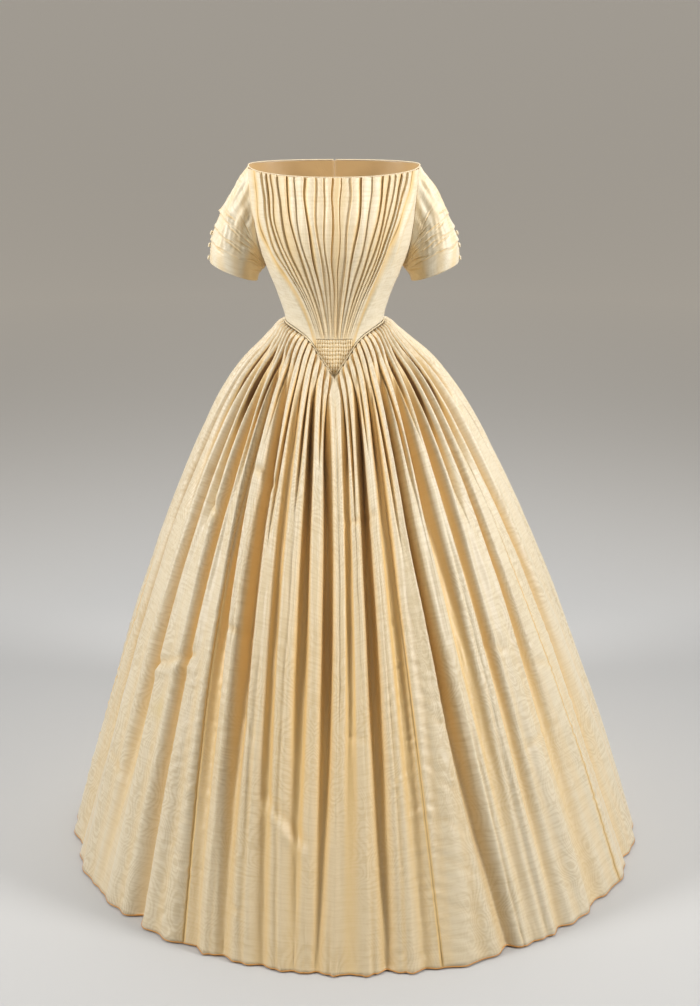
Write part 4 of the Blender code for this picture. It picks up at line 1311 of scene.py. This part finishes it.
all_creases = list(FRONT_CREASES) + back_creases()
hem_line = []
for size in SKIRT_WIDTHS:
    skirt_width = build_skirt_width(size, all_creases)
    for number in range((size.last - size.first) * size.split + 1):
        hem_line.append(tuple(skirt_width.data.vertices[number].co))
    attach(skirt_width, "root")
    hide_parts(size.name)


# The piping: a fine cord covered in a bias strip of the silk, let into the waist
# seam and along the top of the neckline, with its ends at the centre back.
CORD_STEPS = 420
NECK_CORD = 0.0011
CORD_PROUD = 0.0013
CORD_BACK_GAP = 0.4
NECK_PIPING_LIGHT = (0.80, 0.69, 0.49, 1.0)
NECK_PIPING_DARK = (0.60, 0.45, 0.25, 1.0)
WAIST_PIPING_LIGHT = (0.80, 0.69, 0.48, 1.0)
WAIST_PIPING_DARK = (0.66, 0.52, 0.31, 1.0)


def piping_silk(name, light, dark):
    silk, tree, shader = new_finish(name)
    place = node(tree, "ShaderNodeTexCoord")
    twill = node(tree, "ShaderNodeTexWave", {"Vector": place.outputs["Object"], "Scale": 330.0,
                                             "Distortion": 1.5, "Detail": 1.0},
                 wave_type="BANDS", bands_direction="DIAGONAL")
    cloud = node(tree, "ShaderNodeTexNoise", {"Vector": place.outputs["Object"], "Scale": 60.0})
    share = sums(tree, "MULTIPLY", twill.outputs["Fac"], cloud.outputs[0])
    tree.links.new(mixed(tree, share, light, dark), shader.inputs["Base Color"])
    bump = node(tree, "ShaderNodeBump", {"Strength": 0.4, "Distance": 0.0003,
                                         "Height": twill.outputs["Fac"]})
    tree.links.new(bump.outputs[0], shader.inputs["Normal"])
    rough = scaled(tree, cloud.outputs[0], 0.0, 1.0, 0.42, 0.6)
    tree.links.new(rough, shader.inputs["Roughness"])
    return silk


def lay_cord(name, path, radius, finish):
    bpy.ops.object.select_all(action="DESELECT")
    line = bpy.data.curves.new(name, "CURVE")
    line.dimensions = "3D"
    line.bevel_depth = radius
    line.bevel_resolution = 3
    line.use_fill_caps = True
    spline = line.splines.new("POLY")
    spline.points.add(len(path) - 1)
    for point, spot in zip(spline.points, path):
        point.co = (*spot, 1.0)
    made = bpy.data.objects.new(name, line)
    bpy.context.scene.collection.objects.link(made)
    bpy.context.view_layer.objects.active = made
    made.select_set(True)
    bpy.ops.object.convert(target="MESH")
    made = bpy.context.object
    made.name = name
    made.data.materials.clear()
    made.data.materials.append(finish)
    bpy.ops.object.shade_smooth()
    return made


cord_turns = np.radians(np.linspace(CORD_BACK_GAP - 180, 180 - CORD_BACK_GAP, CORD_STEPS))
waist_path = body_point(cord_turns, waist_height(cord_turns))
outward = waist_path * np.array((1.0, 1.0, 0.0))
waist_path = waist_path + unit(outward) * CORD_PROUD
neck_level = neck_height(cord_turns)
neck_path = body_point(cord_turns, neck_level)
neck_path[:, 2] = neck_level + NECK_CORD + SEAM_GAP
neck_cloth = piping_silk("neck_piping_cloth", NECK_PIPING_LIGHT, NECK_PIPING_DARK)
waist_cloth = piping_silk("waist_piping_cloth", WAIST_PIPING_LIGHT, WAIST_PIPING_DARK)
for name, path, radius, cord_cloth in (("waist_piping", waist_path, WAIST_CORD, waist_cloth),
                                       ("neckline_piping", neck_path, NECK_CORD, neck_cloth)):
    cord = lay_cord(name + "_cord", path, radius, cord_cloth)
    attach(cord, "root")
    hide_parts(name)


# The hem braid: a narrow tawny cord laid just inside the edge of the hem, which shows
# as a thin tawny line below the silk.
BRAID_RADIUS = 0.0016
BRAID_INSIDE = 0.0010
BRAID_LIGHT = (0.78, 0.39, 0.11, 1.0)
BRAID_DARK = (0.55, 0.24, 0.06, 1.0)

hem_line = np.array(hem_line)
inward = -unit(hem_line * np.array((1.0, 1.0, 0.0)))
braid_path = hem_line + inward * BRAID_INSIDE - np.array((0.0, 0.0, 0.9 * BRAID_RADIUS))
braid_path = np.concatenate((braid_path, braid_path[:1]))
braid = lay_cord("hem_braid", braid_path, BRAID_RADIUS,
                 piping_silk("braid_wool", BRAID_LIGHT, BRAID_DARK))
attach(braid, "root")


# The covered buttons: three on each sleeve, at the outer edge of the tucks and the
# band, each a small dome of silk drawn over a disc and sewn through from behind.
BUTTON_RADIUS = 0.0050
BUTTON_HALF = 0.0022


def button_silk():
    silk, tree, shader = new_finish("button_cloth")
    place = node(tree, "ShaderNodeTexCoord")
    ribs = node(tree, "ShaderNodeTexWave", {"Vector": place.outputs["Object"], "Scale": 280.0,
                                            "Distortion": 0.6},
                wave_type="BANDS", bands_direction="Z")
    cloud = node(tree, "ShaderNodeTexNoise", {"Vector": place.outputs["Object"], "Scale": 180.0})
    colour = mixed(tree, cloud.outputs[0], SILK_LIGHT, SILK_DARK)
    tree.links.new(colour, shader.inputs["Base Color"])
    bump = node(tree, "ShaderNodeBump", {"Strength": 0.3, "Distance": 0.0003,
                                         "Height": ribs.outputs["Fac"]})
    tree.links.new(bump.outputs[0], shader.inputs["Normal"])
    rough = scaled(tree, cloud.outputs[0], 0.0, 1.0, 0.36, 0.5)
    tree.links.new(rough, shader.inputs["Roughness"])
    return silk


button_cloth = button_silk()
for side_name, side in (("right", 1), ("left", -1)):
    for number in (1, 2, 3):
        name = "sleeve_button_%s_%d" % (side_name, number)
        low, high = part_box(name)
        centre = [(start + end) / 2 for start, end in zip(low, high)]
        flat_part = (high[2] - low[2]) / (2 * BUTTON_RADIUS)
        tilt = math.pi / 2 - math.acos(min(1.0, flat_part))
        bpy.ops.object.select_all(action="DESELECT")
        bpy.ops.mesh.primitive_uv_sphere_add(segments=28, ring_count=14, radius=BUTTON_RADIUS,
                                             location=centre, rotation=(0.0, side * tilt, 0.0))
        button = bpy.context.object
        button.scale = (1.0, 1.0, BUTTON_HALF / BUTTON_RADIUS)
        bpy.ops.object.transform_apply(location=True, rotation=True, scale=True)
        bpy.ops.object.shade_smooth()
        button.name = name + "_covered"
        button.data.materials.append(button_cloth)
        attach(button, "root")
        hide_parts(name)
